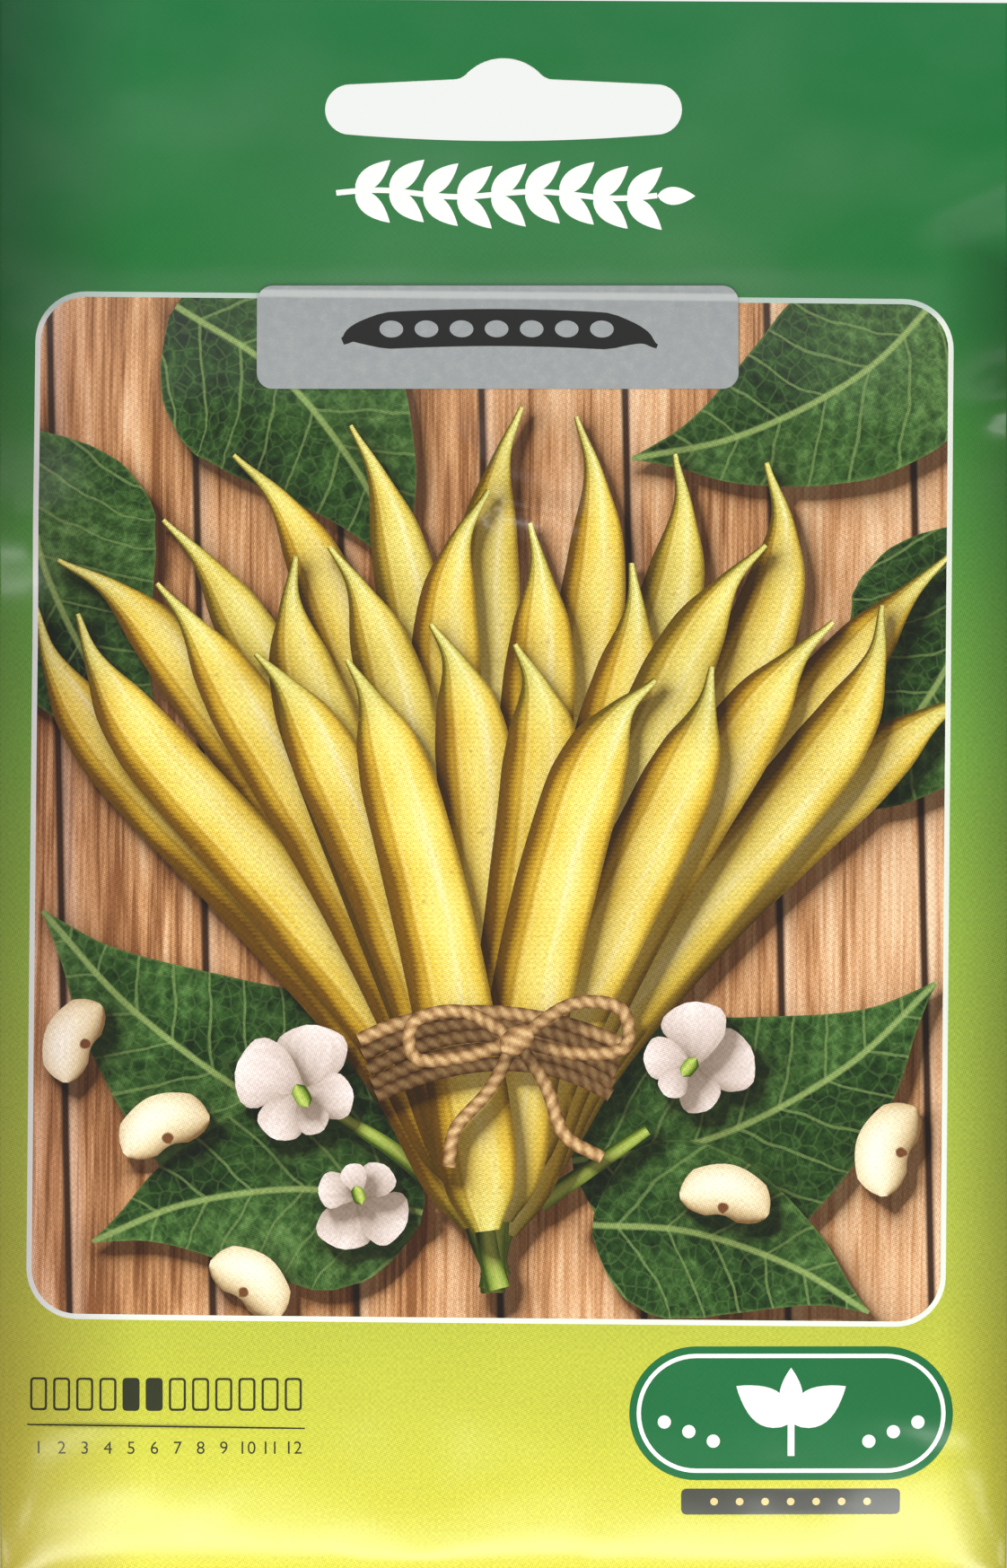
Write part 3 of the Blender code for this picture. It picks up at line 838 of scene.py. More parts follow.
def depth_sign(x, z):
    """Soil in section with a seed in it and its depth in centimetres."""
    loops = [bar((x - 5.2, z + 2.2), (x + 5.2, z + 2.2), 0.18), ellipse((x - 1.6, z - 2.4), 1.6, 1.0, 12.0)]
    loops += arrow((x + 1.8, z + 1.9), (x + 1.8, z - 3.2))
    return inked(loops, INK_GREEN) + [Patch(digit_loops("4", 2.2, (x + 4.0, z - 0.5)), INK_GREEN)]


def spacing_sign(x, z):
    """Two sprouts on the soil and their distance in centimetres."""
    loops = [bar((x - 5.2, z - 0.6), (x + 5.2, z - 0.6), 0.18)]
    for side in (-1, 1):
        loops += seedling((x + side * 3.6, z - 0.42), 4.0)
    loops += arrow((x - 3.6, z - 1.9), (x + 3.6, z - 1.9))
    return inked(loops, INK_GREEN) + [Patch(digit_loops("8", 2.0, (x, z - 3.9)), INK_GREEN)]


def sun_sign(x, z):
    """A sun with eight rays."""
    turns = 45.0 * np.arange(8)
    rays = [bar(from_pivot((x, z), 2.6, turn), from_pivot((x, z), 4.2, turn), 0.26) for turn in turns]
    return inked([ellipse((x, z), 1.8, 1.8)] + rays, INK_GREEN)


def drop_sign(x, z):
    """A drop of water."""
    round_part = arc((x, z - 1.2), 2.3, 155.0, 385.0, 22)
    return inked([np.concatenate((round_part, [(x, z + 4.2)]))], INK_GREEN)


def back_print():
    """Flat ink on the back: a panel of signs and one of months, with dashes in place of text."""
    draw = np.random.default_rng(11)
    half_x, half_z = np.array(BACK_PANEL_SIZE) / 2
    shapes = inked([rounded_rectangle(centre, BACK_PANEL_SIZE, 2.5, 6) for centre in BACK_PANELS], INK_PALE)
    x, z = BACK_PANELS[0]
    for row, sign in enumerate((depth_sign, spacing_sign, sun_sign, drop_sign)):
        level = z + half_z - 9.4 - 14.1 * row
        shapes += sign(x - half_x + 7.6, level)
        shapes += word_lines(x - half_x + 15.4, level + 3.6, 13.6, 5, draw)
        if row:
            rule = bar((x - half_x + 2.0, level + 7.0), (x + half_x - 2.0, level + 7.0), 0.10)
            shapes += inked([rule], INK_GREEN)
    x, z = BACK_PANELS[1]
    shapes += word_lines(x - half_x + 2.6, z + half_z - 4.0, 26.8, 9, draw)
    shapes += sowing_scale((x, z + 4.5), 26.4, INK_GREEN, SOWN)
    shapes += sowing_scale((x, z - 6.5), 26.4, INK_GREEN, HARVESTED)
    shapes += word_lines(x - half_x + 2.6, z - 12.5, 26.8, 8, draw)
    # Drawn as seen from behind, and turned into the front's coordinates here
    return [Patch([loop * (-1, 1) for loop in shape.loops], shape.colour) for shape in shapes]


# The flat web, cut into triangles along every printed edge

def main_point(points):
    """From panel coordinates to the packet's front."""
    return turned(points, PANEL_TURN, PANEL_CENTRE)


def panel_point(points):
    """From the packet's front to panel coordinates."""
    return turned(np.asarray(points, float) - PANEL_CENTRE, -PANEL_TURN, (0.0, 0.0))


def panel_outline(grow):
    """The picture panel's outline in panel coordinates, grown by a distance on every side."""
    return rounded_rectangle((0, 0), np.add(PANEL_SIZE, 2 * grow), PANEL_CORNER + grow, 12)


def front_to_web(points):
    """Front coordinates to lengths on the web."""
    return np.stack((points[:, 0] + FRONT_START + INNER_HALF, points[:, 1]), axis=-1)


def back_to_web(points, outer):
    """Back coordinates, still with x as seen from the front, to lengths on the web's outer or inner end."""
    s = OUTER_START + INNER_HALF - points[:, 0] if outer else LAP_RIGHT - points[:, 0]
    return np.stack((s, points[:, 1]), axis=-1)


def in_loops(points, loops):
    """Which points lie inside closed outlines, counted even and odd, so that holes stay open."""
    inside = np.zeros(len(points), bool)
    for loop in loops:
        low, high = loop.min(0), loop.max(0)
        near = np.flatnonzero(((points >= low) & (points <= high)).all(1))
        if not len(near):
            continue
        x, z = points[near, 0][:, None], points[near, 1][:, None]
        ax, az = loop[:, 0][None], loop[:, 1][None]
        bx, bz = np.roll(loop[:, 0], -1)[None], np.roll(loop[:, 1], -1)[None]
        spans = (az > z) != (bz > z)
        rise = np.where(np.abs(bz - az) < 1e-12, 1e-12, bz - az)
        crosses = spans & (x < ax + (z - az) * (bx - ax) / rise)
        inside[near] ^= crosses.sum(1) % 2 == 1
    return inside


def in_steps(loop, longest):
    """An outline with points added wherever two of them are further apart than the longest step."""
    result = []
    for start, end in zip(loop, np.roll(loop, -1, axis=0)):
        count = max(int(math.ceil(np.linalg.norm(end - start) / longest)), 1)
        result += [start + (end - start) * i / count for i in range(count)]
    return np.array(result)


class Cuts:
    """A grid with the outlines along which a flat sheet is cut into triangles."""

    def __init__(self, x_lines, z_lines):
        self.points = []
        self.edges = []
        self.total = 0
        self.add(np.stack(np.meshgrid(x_lines, z_lines), axis=-1).reshape(-1, 2))

    def add(self, points):
        """Adds points, and returns their numbers."""
        self.points.append(points)
        self.total += len(points)
        return np.arange(self.total - len(points), self.total)

    def outline(self, loop, steps=slice(None)):
        """Adds a closed outline, or only some of its steps."""
        numbers = self.add(loop)
        self.edges.append(np.stack((numbers, np.roll(numbers, -1)), axis=-1)[steps])

    def triangles(self):
        """All points and the triangles between them."""
        points = [Vector(point) for point in np.concatenate(self.points)]
        result = delaunay_2d_cdt(points, np.concatenate(self.edges).tolist(), [], 0, 1e-5, False)
        faces = [face for face in result[2] if len(face) == 3]
        return np.array([tuple(point) for point in result[0]]), np.array(faces)


def in_parts(*stretches):
    """Places along a line in even stretches, each given as its start and its number of steps."""
    starts = [start for start, _ in stretches]
    parts = [np.linspace(start, end, count + 1)[:-1] for (start, count), end in zip(stretches, starts[1:])]
    return np.concatenate(parts + [starts[-1:]])


def web_grid():
    """Lengths round the section and up the web where the plain grid has its lines."""
    lap = OUTER_START + INNER_HALF - LAP_START
    round_web = in_parts(
        (0.0, 29), (BACK_ARC, 6), (FRONT_START, 90), (FRONT_END, 6), (OUTER_START, 21),
        (lap - LAP_STEP, 6), (lap, 6), (WEB_END, 0),
    )
    up_web = in_parts(
        (TOP_RIGHT, 25), (-24.0, 91), (-122.0, 27), (BOTTOM_FOLD, 9), (FLAP_START, 10), (WEB_FOOT, 0),
    )
    return round_web, up_web


def build_web(picture, front_shapes, back_shapes):
    """Triangles of the flat web. Returns points, triangles and the number of each triangle's shape."""
    cuts = Cuts(*web_grid())
    cuts.outline(np.array(((0.0, TOP_RIGHT), (0.0, WEB_FOOT), (WEB_END, WEB_FOOT), (WEB_END, TOP_RIGHT))))
    slot = slot_outline()
    slots = [front_to_web(slot), back_to_web(slot, True), back_to_web(slot, False)]
    lines = [in_steps(panel_outline(grow), PANEL_MARGIN) for grow in (PANEL_LINE / 2, -PANEL_LINE / 2)]
    panel = [front_to_web(main_point(line)) for line in lines]
    for loop in slots + panel:
        cuts.outline(loop)
    margin = panel_outline(PANEL_MARGIN)
    for shape in picture:
        outline = in_steps(shape.outline(), PANEL_MARGIN)
        kept = np.flatnonzero(in_loops(outline, [margin]))
        joined = (np.roll(kept, -1) - kept) % len(outline) == 1
        cuts.outline(front_to_web(main_point(outline[kept])), joined)
        for grow in RING_GROWTHS:
            ring = shape.outline(grow)[::2]
            cuts.add(front_to_web(main_point(ring[in_loops(ring, [margin])])))
    prints = [[front_to_web(loop) for loop in shape.loops] for shape in front_shapes]
    for shape in back_shapes:
        prints.append([back_to_web(loop, loop[:, 0].mean() > LAP_LEFT) for loop in shape.loops])
    for loops in prints:
        for loop in loops:
            cuts.outline(loop)

    verts, faces = cuts.triangles()
    centres = verts[faces].mean(1)
    keep = ((centres > (0.0, WEB_FOOT)) & (centres < (WEB_END, TOP_RIGHT))).all(1)
    for loop in slots:
        keep &= ~in_loops(centres, [loop])
    faces, centres = faces[keep], centres[keep]
    owner = np.full(len(faces), PLAIN)
    owner[in_loops(centres, panel[:1])] = BORDER
    in_panel = in_loops(centres, panel[1:])
    owner[in_panel] = GROUND
    for number, shape in enumerate(picture):
        owner[in_panel & in_loops(centres, [front_to_web(main_point(shape.outline()))])] = number
    for number, loops in enumerate(prints, start=len(picture)):
        owner[in_loops(centres, loops)] = number
    return verts, faces, owner


def shade_gaps(flat_points, picture):
    """For each picture shape, and last for the ground, how far each point is from what lies above it."""
    shifted = flat_points - SHADOW_SHIFT
    above = np.full(len(flat_points), SHADOW_REACH)
    gaps = []
    for shape in reversed(picture):
        gaps.insert(0, above.copy())
        low = shape.spine.min(0) - SHADOW_REACH - shape.half.max()
        high = shape.spine.max(0) + SHADOW_REACH + shape.half.max()
        near = np.flatnonzero(((shifted >= low) & (shifted <= high)).all(1))
        if len(near):
            above[near] = np.minimum(above[near], shape.measure(shifted[near])[3])
    return gaps + [above]


# Materials

def math_step(operation):
    """A Wire method that adds one Math node."""
    return lambda wire, *values: wire.graph.math(operation, wire, *values)


class Wire:
    """A number or a colour in a material's node tree. Sums with it add Math nodes."""

    __add__ = math_step("ADD")
    __sub__ = math_step("SUBTRACT")
    __mul__ = math_step("MULTIPLY")
    __truediv__ = math_step("DIVIDE")
    __pow__ = math_step("POWER")
    __abs__ = math_step("ABSOLUTE")
    sine = math_step("SINE")
    floor = math_step("FLOOR")
    fract = math_step("FRACT")
    exponent = math_step("EXPONENT")
    at_least = math_step("MAXIMUM")
    at_most = math_step("MINIMUM")

    def __init__(self, graph, socket):
        self.graph = graph
        self.socket = socket

    def __rsub__(self, other):
        return self.graph.math("SUBTRACT", other, self)

    def step(self, low, high, kind="SMOOTHSTEP"):
        """0 at low rising to 1 at high."""
        return self.graph.node("MapRange", {0: self, 1: low, 2: high}, interpolation_type=kind)

    def ramp(self, *stops):
        """The colour between stops, each of them a place and a colour's screen values."""
        result = self.graph.node("ValToRGB", {0: self})
        elements = result.socket.node.color_ramp.elements
        for n, (place, colour) in enumerate(stops):
            element = elements[n] if n < 2 else elements.new(place)
            element.position = place
            element.color = (*srgb(*colour), 1.0)
        return result


class Graph:
    """A material's node tree, built up in plain steps."""

    def __init__(self, name):
        self.material = bpy.data.materials.new(name)
        self.material.use_nodes = True
        self.tree = self.material.node_tree

    def feed(self, socket, value):
        """Links a wire, or sets a number, or a colour from its three screen values."""
        if isinstance(value, Wire):
            self.tree.links.new(value.socket, socket)
        elif isinstance(value, tuple) and len(value) == 3:
            socket.default_value = (*srgb(*value), 1.0)
        else:
            socket.default_value = value

    def node(self, kind, inputs=(), output=0, **settings):
        """Adds a node with its settings and inputs, and returns the wire from one of its outputs."""
        node = self.tree.nodes.new("ShaderNode" + kind)
        for key, value in settings.items():
            setattr(node, key, value)
        for key, value in dict(inputs).items():
            self.feed(node.inputs[key], value)
        return Wire(self, node.outputs[output])

    def finish(self, inputs):
        """Feeds the shader, and returns the material."""
        for key, value in inputs.items():
            self.feed(self.tree.nodes["Principled BSDF"].inputs[key], value)
        return self.material

    def math(self, operation, *values):
        """One Math node."""
        return self.node("Math", enumerate(values), operation=operation)

    def vector(self, x, y, z=0.0):
        """Three numbers as one vector."""
        return self.node("CombineXYZ", enumerate((x, y, z)))

    def attribute(self, name):
        """A mesh attribute's three numbers."""
        source = self.node("Attribute", output="Vector", attribute_name=name)
        split = self.node("SeparateXYZ", {0: source})
        return [Wire(self, socket) for socket in split.socket.node.outputs]

    def noise(self, vector, scale=1.0, detail=2.0, roughness=0.5, distortion=0.0):
        """Noise of about 0 to 1."""
        inputs = {"Vector": vector, "Scale": scale, "Detail": detail, "Roughness": roughness}
        return self.node("TexNoise", {**inputs, "Distortion": distortion})

    def bump(self, height, strength):
        """A normal from a height in millimetres."""
        return self.node("Bump", {"Strength": strength, "Distance": MM, "Height": height})

    def mix(self, factor, first, second, blend="MIX"):
        """A mix of two colours."""
        return self.node("Mix", {0: factor, 6: first, 7: second}, 2, data_type="RGBA", blend_type=blend)

    def layers(self, colour, *layers):
        """Colours laid over one another, each with its strength."""
        for strength, layer in layers:
            colour = self.mix(strength, colour, layer)
        return colour


def halftone(s, v):
    """Two dot screens of the press laid over each other, from about -1 to 1."""
    dots = []
    for angle in SCREEN_ANGLES:
        along = 2 * math.pi / SCREEN_PITCH * math.cos(math.radians(angle))
        across = 2 * math.pi / SCREEN_PITCH * math.sin(math.radians(angle))
        dots.append((s * along + v * across).sine() + (v * along - s * across).sine())
    return (dots[0] + dots[1]) * 0.25


def rosette(s, v):
    """The coarser lattice of dots that the two screens form together, from -1 to 1."""
    turn = 2 * math.pi / ROSETTE_PITCH / math.sqrt(2)
    return (((s + v) * turn).sine() + ((s - v) * turn).sine()) * 0.5


def coated_paper(graph, colour, roughness=0.22, screen=1.0):
    """Press grain over a printed colour, painted shade towards the folds, then the gloss and the faint
    tooth of coated paper.
    """
    s, v, _ = graph.attribute("web")
    at = graph.vector(s, v)
    grain = graph.noise(at, scale=2.9, roughness=0.7)
    cloud = graph.noise(at, scale=0.06)
    dots = (grain - 0.5) * 0.55 + rosette(s, v) * 0.06 + halftone(s, v) * 0.3
    tone = (cloud - 0.5) * 0.12 + dots * screen + 1.0
    # Painted shade: the colour darkens towards the side folds, less so in the green
    from_left = abs(s - (BACK_ARC + FRONT_START) / 2)
    from_right = abs(s - (FRONT_END + OUTER_START) / 2)
    left_fold_shade = from_left.step(-FOLD_SHADE_REACH[0], FOLD_SHADE_REACH[0], "LINEAR")
    right_fold_shade = from_right.step(-FOLD_SHADE_REACH[1], FOLD_SHADE_REACH[1], "LINEAR")
    tone = tone * left_fold_shade * right_fold_shade.at_least(v.step(*FOLD_SHADE_FADE))
    smear = graph.noise(at, scale=0.12, detail=4.0, roughness=0.6)
    tooth = graph.noise(at, scale=1.4, detail=3.0, roughness=0.65)
    cockle = graph.noise(at, scale=0.09, detail=1.5)
    grain_and_fold_shade = graph.vector(tone, tone * left_fold_shade**FOLD_SHADE_GREEN, tone)
    return graph.finish({
        "Base Color": graph.mix(1.0, colour, grain_and_fold_shade, "MULTIPLY"),
        "Roughness": smear * 0.12 + (roughness - 0.06),
        "Normal": graph.bump(tooth * 0.004 + cockle * 0.45, 0.6),
        "Specular IOR Level": GLOSS,
    })


def picture_print(graph, colour, depth, screen=1.0):
    """Darkens a colour where the picture's upper shapes throw their soft shadow, and prints it."""
    gap, _, _ = graph.attribute("tone")
    near = gap.at_least(0.0)
    dark = (near * -1.5).exponent() * 0.55 + (near * -0.32).exponent() * 0.45
    light = 1.0 - dark * depth
    shaded = graph.mix(1.0, colour, graph.vector(light, light**1.12, light**1.3), "MULTIPLY")
    return coated_paper(graph, shaded, screen=screen)


def background_material():
    """Green at the head running through olive to yellow at the foot, with painted sheen in pale patches
    over the upper part.
    """
    graph = Graph("print_background")
    s, v, _ = graph.attribute("web")
    sway = graph.noise(graph.vector(s, v), scale=0.03, detail=1.0)
    colour = (sway * 10.0 + (v - 5.0)).step(6.0, -143.0, "LINEAR").ramp(
        (0.00, (10, 108, 53)),
        (0.20, (20, 106, 43)),
        (0.34, (74, 137, 54)),
        (0.48, (113, 160, 60)),
        (0.62, (144, 173, 63)),
        (0.74, (162, 177, 64)),
        (0.80, (171, 180, 65)),
        (0.86, (184, 188, 64)),
        (1.00, (203, 198, 66)),
    )
    # Painted sheen: pale patches, strongest in the middle of the header, that stand in for gloss on the
    # wavy paper
    sheen_patches = graph.noise(graph.vector(s, v * 1.4), scale=0.045, detail=2.5, roughness=0.4)
    from_middle = abs(s - (FRONT_START + FRONT_END) / 2)
    central_sheen = from_middle.step(44.0, 6.0) * v.step(4.0, -14.0)
    painted_sheen = (sheen_patches.step(0.46, 0.72) * 0.6 + central_sheen) * v.step(-60.0, -20.0)
    colour = graph.mix(painted_sheen * 0.038, colour, (214, 226, 210))
    return coated_paper(graph, colour, screen=v.step(-5.0, -60.0) * 0.8 + 0.2)


def flat_material():
    """Flat inks, each with the colour that its shape carries."""
    graph = Graph("print_flat")
    return coated_paper(graph, graph.node("Attribute", output="Color", attribute_name="ink"), screen=0.3)


def border_material():
    """The unprinted border line of the picture, and paper that shows its white."""
    graph = Graph("print_border")
    _, v, _ = graph.attribute("web")
    white = graph.mix(v.step(-25.5, -23.2), (222, 228, 216), (176, 192, 182))
    return coated_paper(graph, white, screen=0.2)


def core_material():
    """Cut edges and the inside of the paper."""
    return coated_paper(Graph("paper_core"), (232, 232, 224), roughness=0.7, screen=0.0)


def boards_material():
    """Pale boards side by side, with long grain, under the picture's things."""
    graph = Graph("print_boards")
    x, z, _ = graph.attribute("art")
    lane = (z * 0.03 + x) / BOARD_WIDTH
    across = lane.fract()
    own = graph.node("TexWhiteNoise", {"W": lane.floor()}, noise_dimensions="1D")
    shift = own * 90.0
    grain_at = graph.vector(x * 2.2, z * 0.06 + shift)
    lines = graph.noise(grain_at, detail=5.0, roughness=0.62, distortion=0.6)
    broad = graph.noise(graph.vector(x * 0.32, z * 0.035 + shift), distortion=1.2)
    wood = ((own - 0.5) * 0.22 + (lines - 0.5) * 1.1 + broad).ramp(
        (0.22, (142, 90, 50)),
        (0.42, (198, 144, 96)),
        (0.58, (220, 172, 128)),
        (0.80, (238, 202, 162)),
    )
    seam = across.at_most(1.0 - across).step(0.012, 0.045)
    lip = across.step(0.14, 0.03) * seam
    wood = graph.layers(wood, (1.0 - seam, (62, 38, 22)), (lip * 0.35, (244, 216, 190)))
    return picture_print(graph, wood, 0.86, PICTURE_SCREEN)


def pod_material():
    """Waxy yellow pods: round in section, with a seam line, faint seed swellings and a green beak."""
    graph = Graph("print_pods")
    _, web_v, _ = graph.attribute("web")
    d, along, half = graph.attribute("art")
    _, luck, length = graph.attribute("tone")
    u = d / half.at_least(0.05)
    shift = luck * 60.0
    streaks = graph.noise(graph.vector(d * 1.3, along * 0.07 + shift), detail=4.0, roughness=0.6)
    slow = graph.noise(graph.vector(0.0, along * 0.05 + shift), detail=1.0)
    tilt = (slow - 0.5) * 0.5 + u
    swell = (along * 0.72 + shift).sine() * along.step(8.0, 22.0)
    lines = (web_v * (2 * math.pi / ROSETTE_PITCH)).sine()
    lit = (streaks - 0.5) * 0.3 + (1.0 - abs(tilt + 0.22) ** 2.0) + swell * 0.05 + lines * 0.05
    flesh = lit.ramp(
        (0.00, (112, 76, 6)),
        (0.22, (172, 131, 22)),
        (0.48, (210, 171, 46)),
        (0.72, (232, 200, 76)),
        (1.00, (245, 223, 120)),
    )
    green = lit.ramp((0.0, (88, 84, 12)), (0.5, (164, 158, 62)), (1.0, (218, 212, 124)))
    greenness = (luck.step(0.55, 1.0) * 0.5).at_least((length - along).step(10.0, 2.0) * 0.9)
    greenness = greenness.at_least(along.step(7.0, 0.0) * 0.7)
    seam = 1.0 - abs(u - 0.5).step(0.0, 0.09)
    ridge = 1.0 - abs(u - 0.36).step(0.0, 0.1)
    shine = (1.0 - abs(tilt + 0.34).step(0.02, 0.3)) * streaks.step(0.35, 0.7)
    fleck = graph.noise(graph.vector(d, along, shift), scale=0.9)
    colour = graph.layers(
        flesh,
        (greenness, green),
        (seam * 0.42, (150, 108, 30)),
        (ridge * 0.3, (246, 228, 150)),
        (shine * 0.5, (252, 242, 196)),
        (abs(u).step(0.8, 1.0) * 0.6, (84, 58, 10)),
        (fleck.step(0.66, 0.78) * 0.35, (150, 112, 40)),
    )
    return picture_print(graph, colour, 0.80, PICTURE_SCREEN)


def leaf_material():
    """Dark bean leaves: pale veins, puckers between them and one half lighter than the other."""
    graph = Graph("print_leaves")
    d, along, half = graph.attribute("art")
    _, luck, _ = graph.attribute("tone")
    side = abs(d)
    at = graph.vector(d, along, luck * 40.0)
    warp = graph.noise(at, scale=0.16)
    off_vein = abs((((warp - 0.5) * 2.2 + along - side * 0.8) / 4.6).fract() - 0.5)
    vein = 1.0 - off_vein.step(0.015, 0.055)
    rib = 1.0 - side.step(0.12, 0.42)
    cells = graph.node("TexVoronoi", {"Vector": at, "Scale": 0.75}, feature="DISTANCE_TO_EDGE")
    net = 1.0 - cells.step(0.02, 0.1)
    pucker = 0.5 - abs(off_vein - 0.25)
    fine = graph.noise(at, scale=0.9, detail=4.0, roughness=0.6)
    broad = graph.noise(at, scale=0.11)
    bright = d.step(-1.0, 1.0) * 0.2 + pucker * 0.6 + (luck - 0.5) * 0.16 + 0.05
    bright = bright + (fine - 0.5) * 1.25 + (broad - 0.5) * 0.9
    blade_colour = bright.ramp(
        (0.00, (12, 34, 6)),
        (0.25, (28, 60, 16)),
        (0.50, (52, 88, 34)),
        (0.75, (86, 124, 62)),
        (1.00, (126, 158, 94)),
    )
    colour = graph.layers(
        blade_colour,
        (net * 0.2, (104, 136, 74)),
        (vein * 0.55, (124, 152, 86)),
        (rib * 0.8, (146, 170, 98)),
        ((half - side).step(0.35, 0.0) * 0.35, (108, 134, 66)),
    )
    return picture_print(graph, colour, 0.82, PICTURE_SCREEN)


def stalk_material():
    """Fresh green stalks, round in section."""
    graph = Graph("print_stalks")
    d, along, half = graph.attribute("art")
    u = d / half.at_least(0.05)
    streaks = graph.noise(graph.vector(d * 3.0, along * 0.3), detail=3.0)
    lit = (streaks - 0.5) * 0.5 + (0.9 - abs(u + 0.2) ** 2.0)
    colour = lit.ramp((0.0, (58, 78, 14)), (0.5, (124, 150, 48)), (1.0, (190, 206, 104)))
    return picture_print(graph, colour, 0.8)


def cord_material():
    """Twisted cord that ties the sheaf."""
    graph = Graph("print_cord")
    d, along, half = graph.attribute("art")
    _, luck, _ = graph.attribute("tone")
    u = d / half.at_least(0.05)
    twist = (along * 5.0 + d * 3.6).sine()
    fuzz = graph.noise(graph.vector(d, along, luck), scale=3.0, detail=3.0)
    lit = twist * 0.16 + (fuzz - 0.5) * 0.4 + (0.78 - abs(u) ** 2.0 * 0.6)
    colour = lit.ramp((0.0, (70, 44, 20)), (0.5, (158, 116, 70)), (1.0, (222, 188, 136)))
    return picture_print(graph, colour, 0.7)


def petal_material():
    """White petals with a blush and faint lines."""
    graph = Graph("print_petals")
    d, along, half = graph.attribute("art")
    _, luck, length = graph.attribute("tone")
    u = d / half.at_least(0.05)
    reach = along / length.at_least(0.1)
    lines = graph.noise(graph.vector(u * 4.0, along * 0.25, luck), detail=3.0)
    lit = (lines - 0.5) * 0.45 + reach * 0.55 - abs(u) ** 3.0 * 0.22 + 0.3
    stops = ((0.0, (150, 140, 96)), (0.4, (212, 194, 186)), (0.8, (240, 226, 222)), (1.0, (250, 244, 240)))
    return picture_print(graph, lit.ramp(*stops), 0.65)


def bean_material():
    """Cream seeds with a soft shine and a small brown eye on their hollow side."""
    graph = Graph("print_beans")
    d, along, half = graph.attribute("art")
    _, _, length = graph.attribute("tone")
    u = d / half.at_least(0.05)
    reach = along / length.at_least(0.1) - 0.5
    bow = abs(u - 0.25) ** 2.0 + abs(reach + 0.1) ** 2.0 * 2.4
    stops = ((0.0, (120, 88, 48)), (0.45, (206, 182, 138)), (0.8, (238, 224, 190)), (1.0, (252, 246, 226)))
    eye = (reach / 0.11) ** 2.0 + ((u + 0.72) / 0.24) ** 2.0
    colour = graph.mix(1.0 - eye.step(0.6, 1.2), (0.95 - bow * 0.55).ramp(*stops), (110, 66, 34))
    return picture_print(graph, colour, 0.6)


INKS = {
    "background": background_material,
    "core": core_material,
    "flat": flat_material,
    "border": border_material,
    "boards": boards_material,
    "pod": pod_material,
    "leaf": leaf_material,
    "stalk": stalk_material,
    "cord": cord_material,
    "petal": petal_material,
    "bean": bean_material,
}


# The paper sheets

def store(mesh, name, kind, domain, values):
    """Writes rows of numbers to a mesh attribute."""
    field = "color" if kind == "FLOAT_COLOR" else "vector"
    mesh.attributes.new(name, kind, domain).data.foreach_set(field, np.asarray(values, np.float32).ravel())


def paper_sheet(name, flat, upper, under, normal, faces):
    """A sheet of two sides and a rim all round, with its flat coordinates and its normals."""
    count = len(flat)
    edges = dict.fromkeys(edge for a, b, c in faces.tolist() for edge in ((a, b), (b, c), (c, a)))
    rim_faces = [(b, a, a + count, b + count) for a, b in edges if (b, a) not in edges]
    mesh = bpy.data.meshes.new(name)
    sides = faces.tolist() + (faces[:, ::-1] + count).tolist()
    mesh.from_pydata((np.concatenate((upper, under)) * MM).tolist(), [], sides + rim_faces)
    store(mesh, "web", "FLOAT_VECTOR", "POINT", np.pad(np.concatenate((flat, flat)), ((0, 0), (0, 1))))
    set_normals(mesh, normal, faces, rim_faces)
    return new_object(name, mesh)


def set_normals(mesh, normal, faces, rim_faces):
    """Smooth normals from the surface's formula on both faces of the paper, and crisp cut edges."""
    mesh.shade_smooth()
    crisp = {tuple(sorted(pair)) for a, b, c, d in rim_faces for pair in ((a, b), (c, d))}
    ends = np.zeros(len(mesh.edges) * 2, np.int32)
    mesh.edges.foreach_get("vertices", ends)
    sharp = [tuple(pair) in crisp for pair in np.sort(ends.reshape(-1, 2), axis=1).tolist()]
    mesh.attributes.new("sharp_edge", "BOOLEAN", "EDGE").data.foreach_set("value", sharp)
    face_normals = np.zeros(len(mesh.polygons) * 3, np.float32)
    mesh.polygons.foreach_get("normal", face_normals)
    rim_normals = np.repeat(face_normals.reshape(-1, 3)[2 * len(faces):], 4, axis=0)
    corner_normals = np.concatenate((normal[faces.ravel()], -normal[faces[:, ::-1].ravel()], rim_normals))
    mesh.normals_split_custom_set(corner_normals.tolist())


def make_skin():
    """The packet's paper skin: both faces and the cut edges, with every printed shape as its own faces."""
    picture = picture_shapes()
    front_shapes = front_print()
    back_shapes = back_print()
    shapes = picture + front_shapes + back_shapes
    verts, faces, owner = build_web(picture, front_shapes, back_shapes)
    s, v = verts[:, 0], np.minimum(verts[:, 1], TOP_RIGHT)
    normal = web_normal(s, v)
    outer = web_surface(s, v) + normal * PAPER / 2
    skin = paper_sheet("packet_skin", verts, outer, outer - normal * SKIN, normal, faces)
    for build in INKS.values():
        skin.data.materials.append(build())
    names = list(INKS)
    slot = np.full(len(skin.data.polygons), names.index("core"), np.int32)
    printed = slot[: len(faces)]
    printed[:] = names.index("background")
    printed[owner == BORDER] = names.index("border")
    printed[owner == GROUND] = names.index("boards")
    for number, shape in enumerate(shapes):
        printed[owner == number] = names.index(shape.ink)
    skin.data.polygons.foreach_set("material_index", slot)
    paint_corners(skin.data, verts, faces, owner, picture, shapes)
    lay_out_bake_map(skin.data, verts, faces)
    return skin


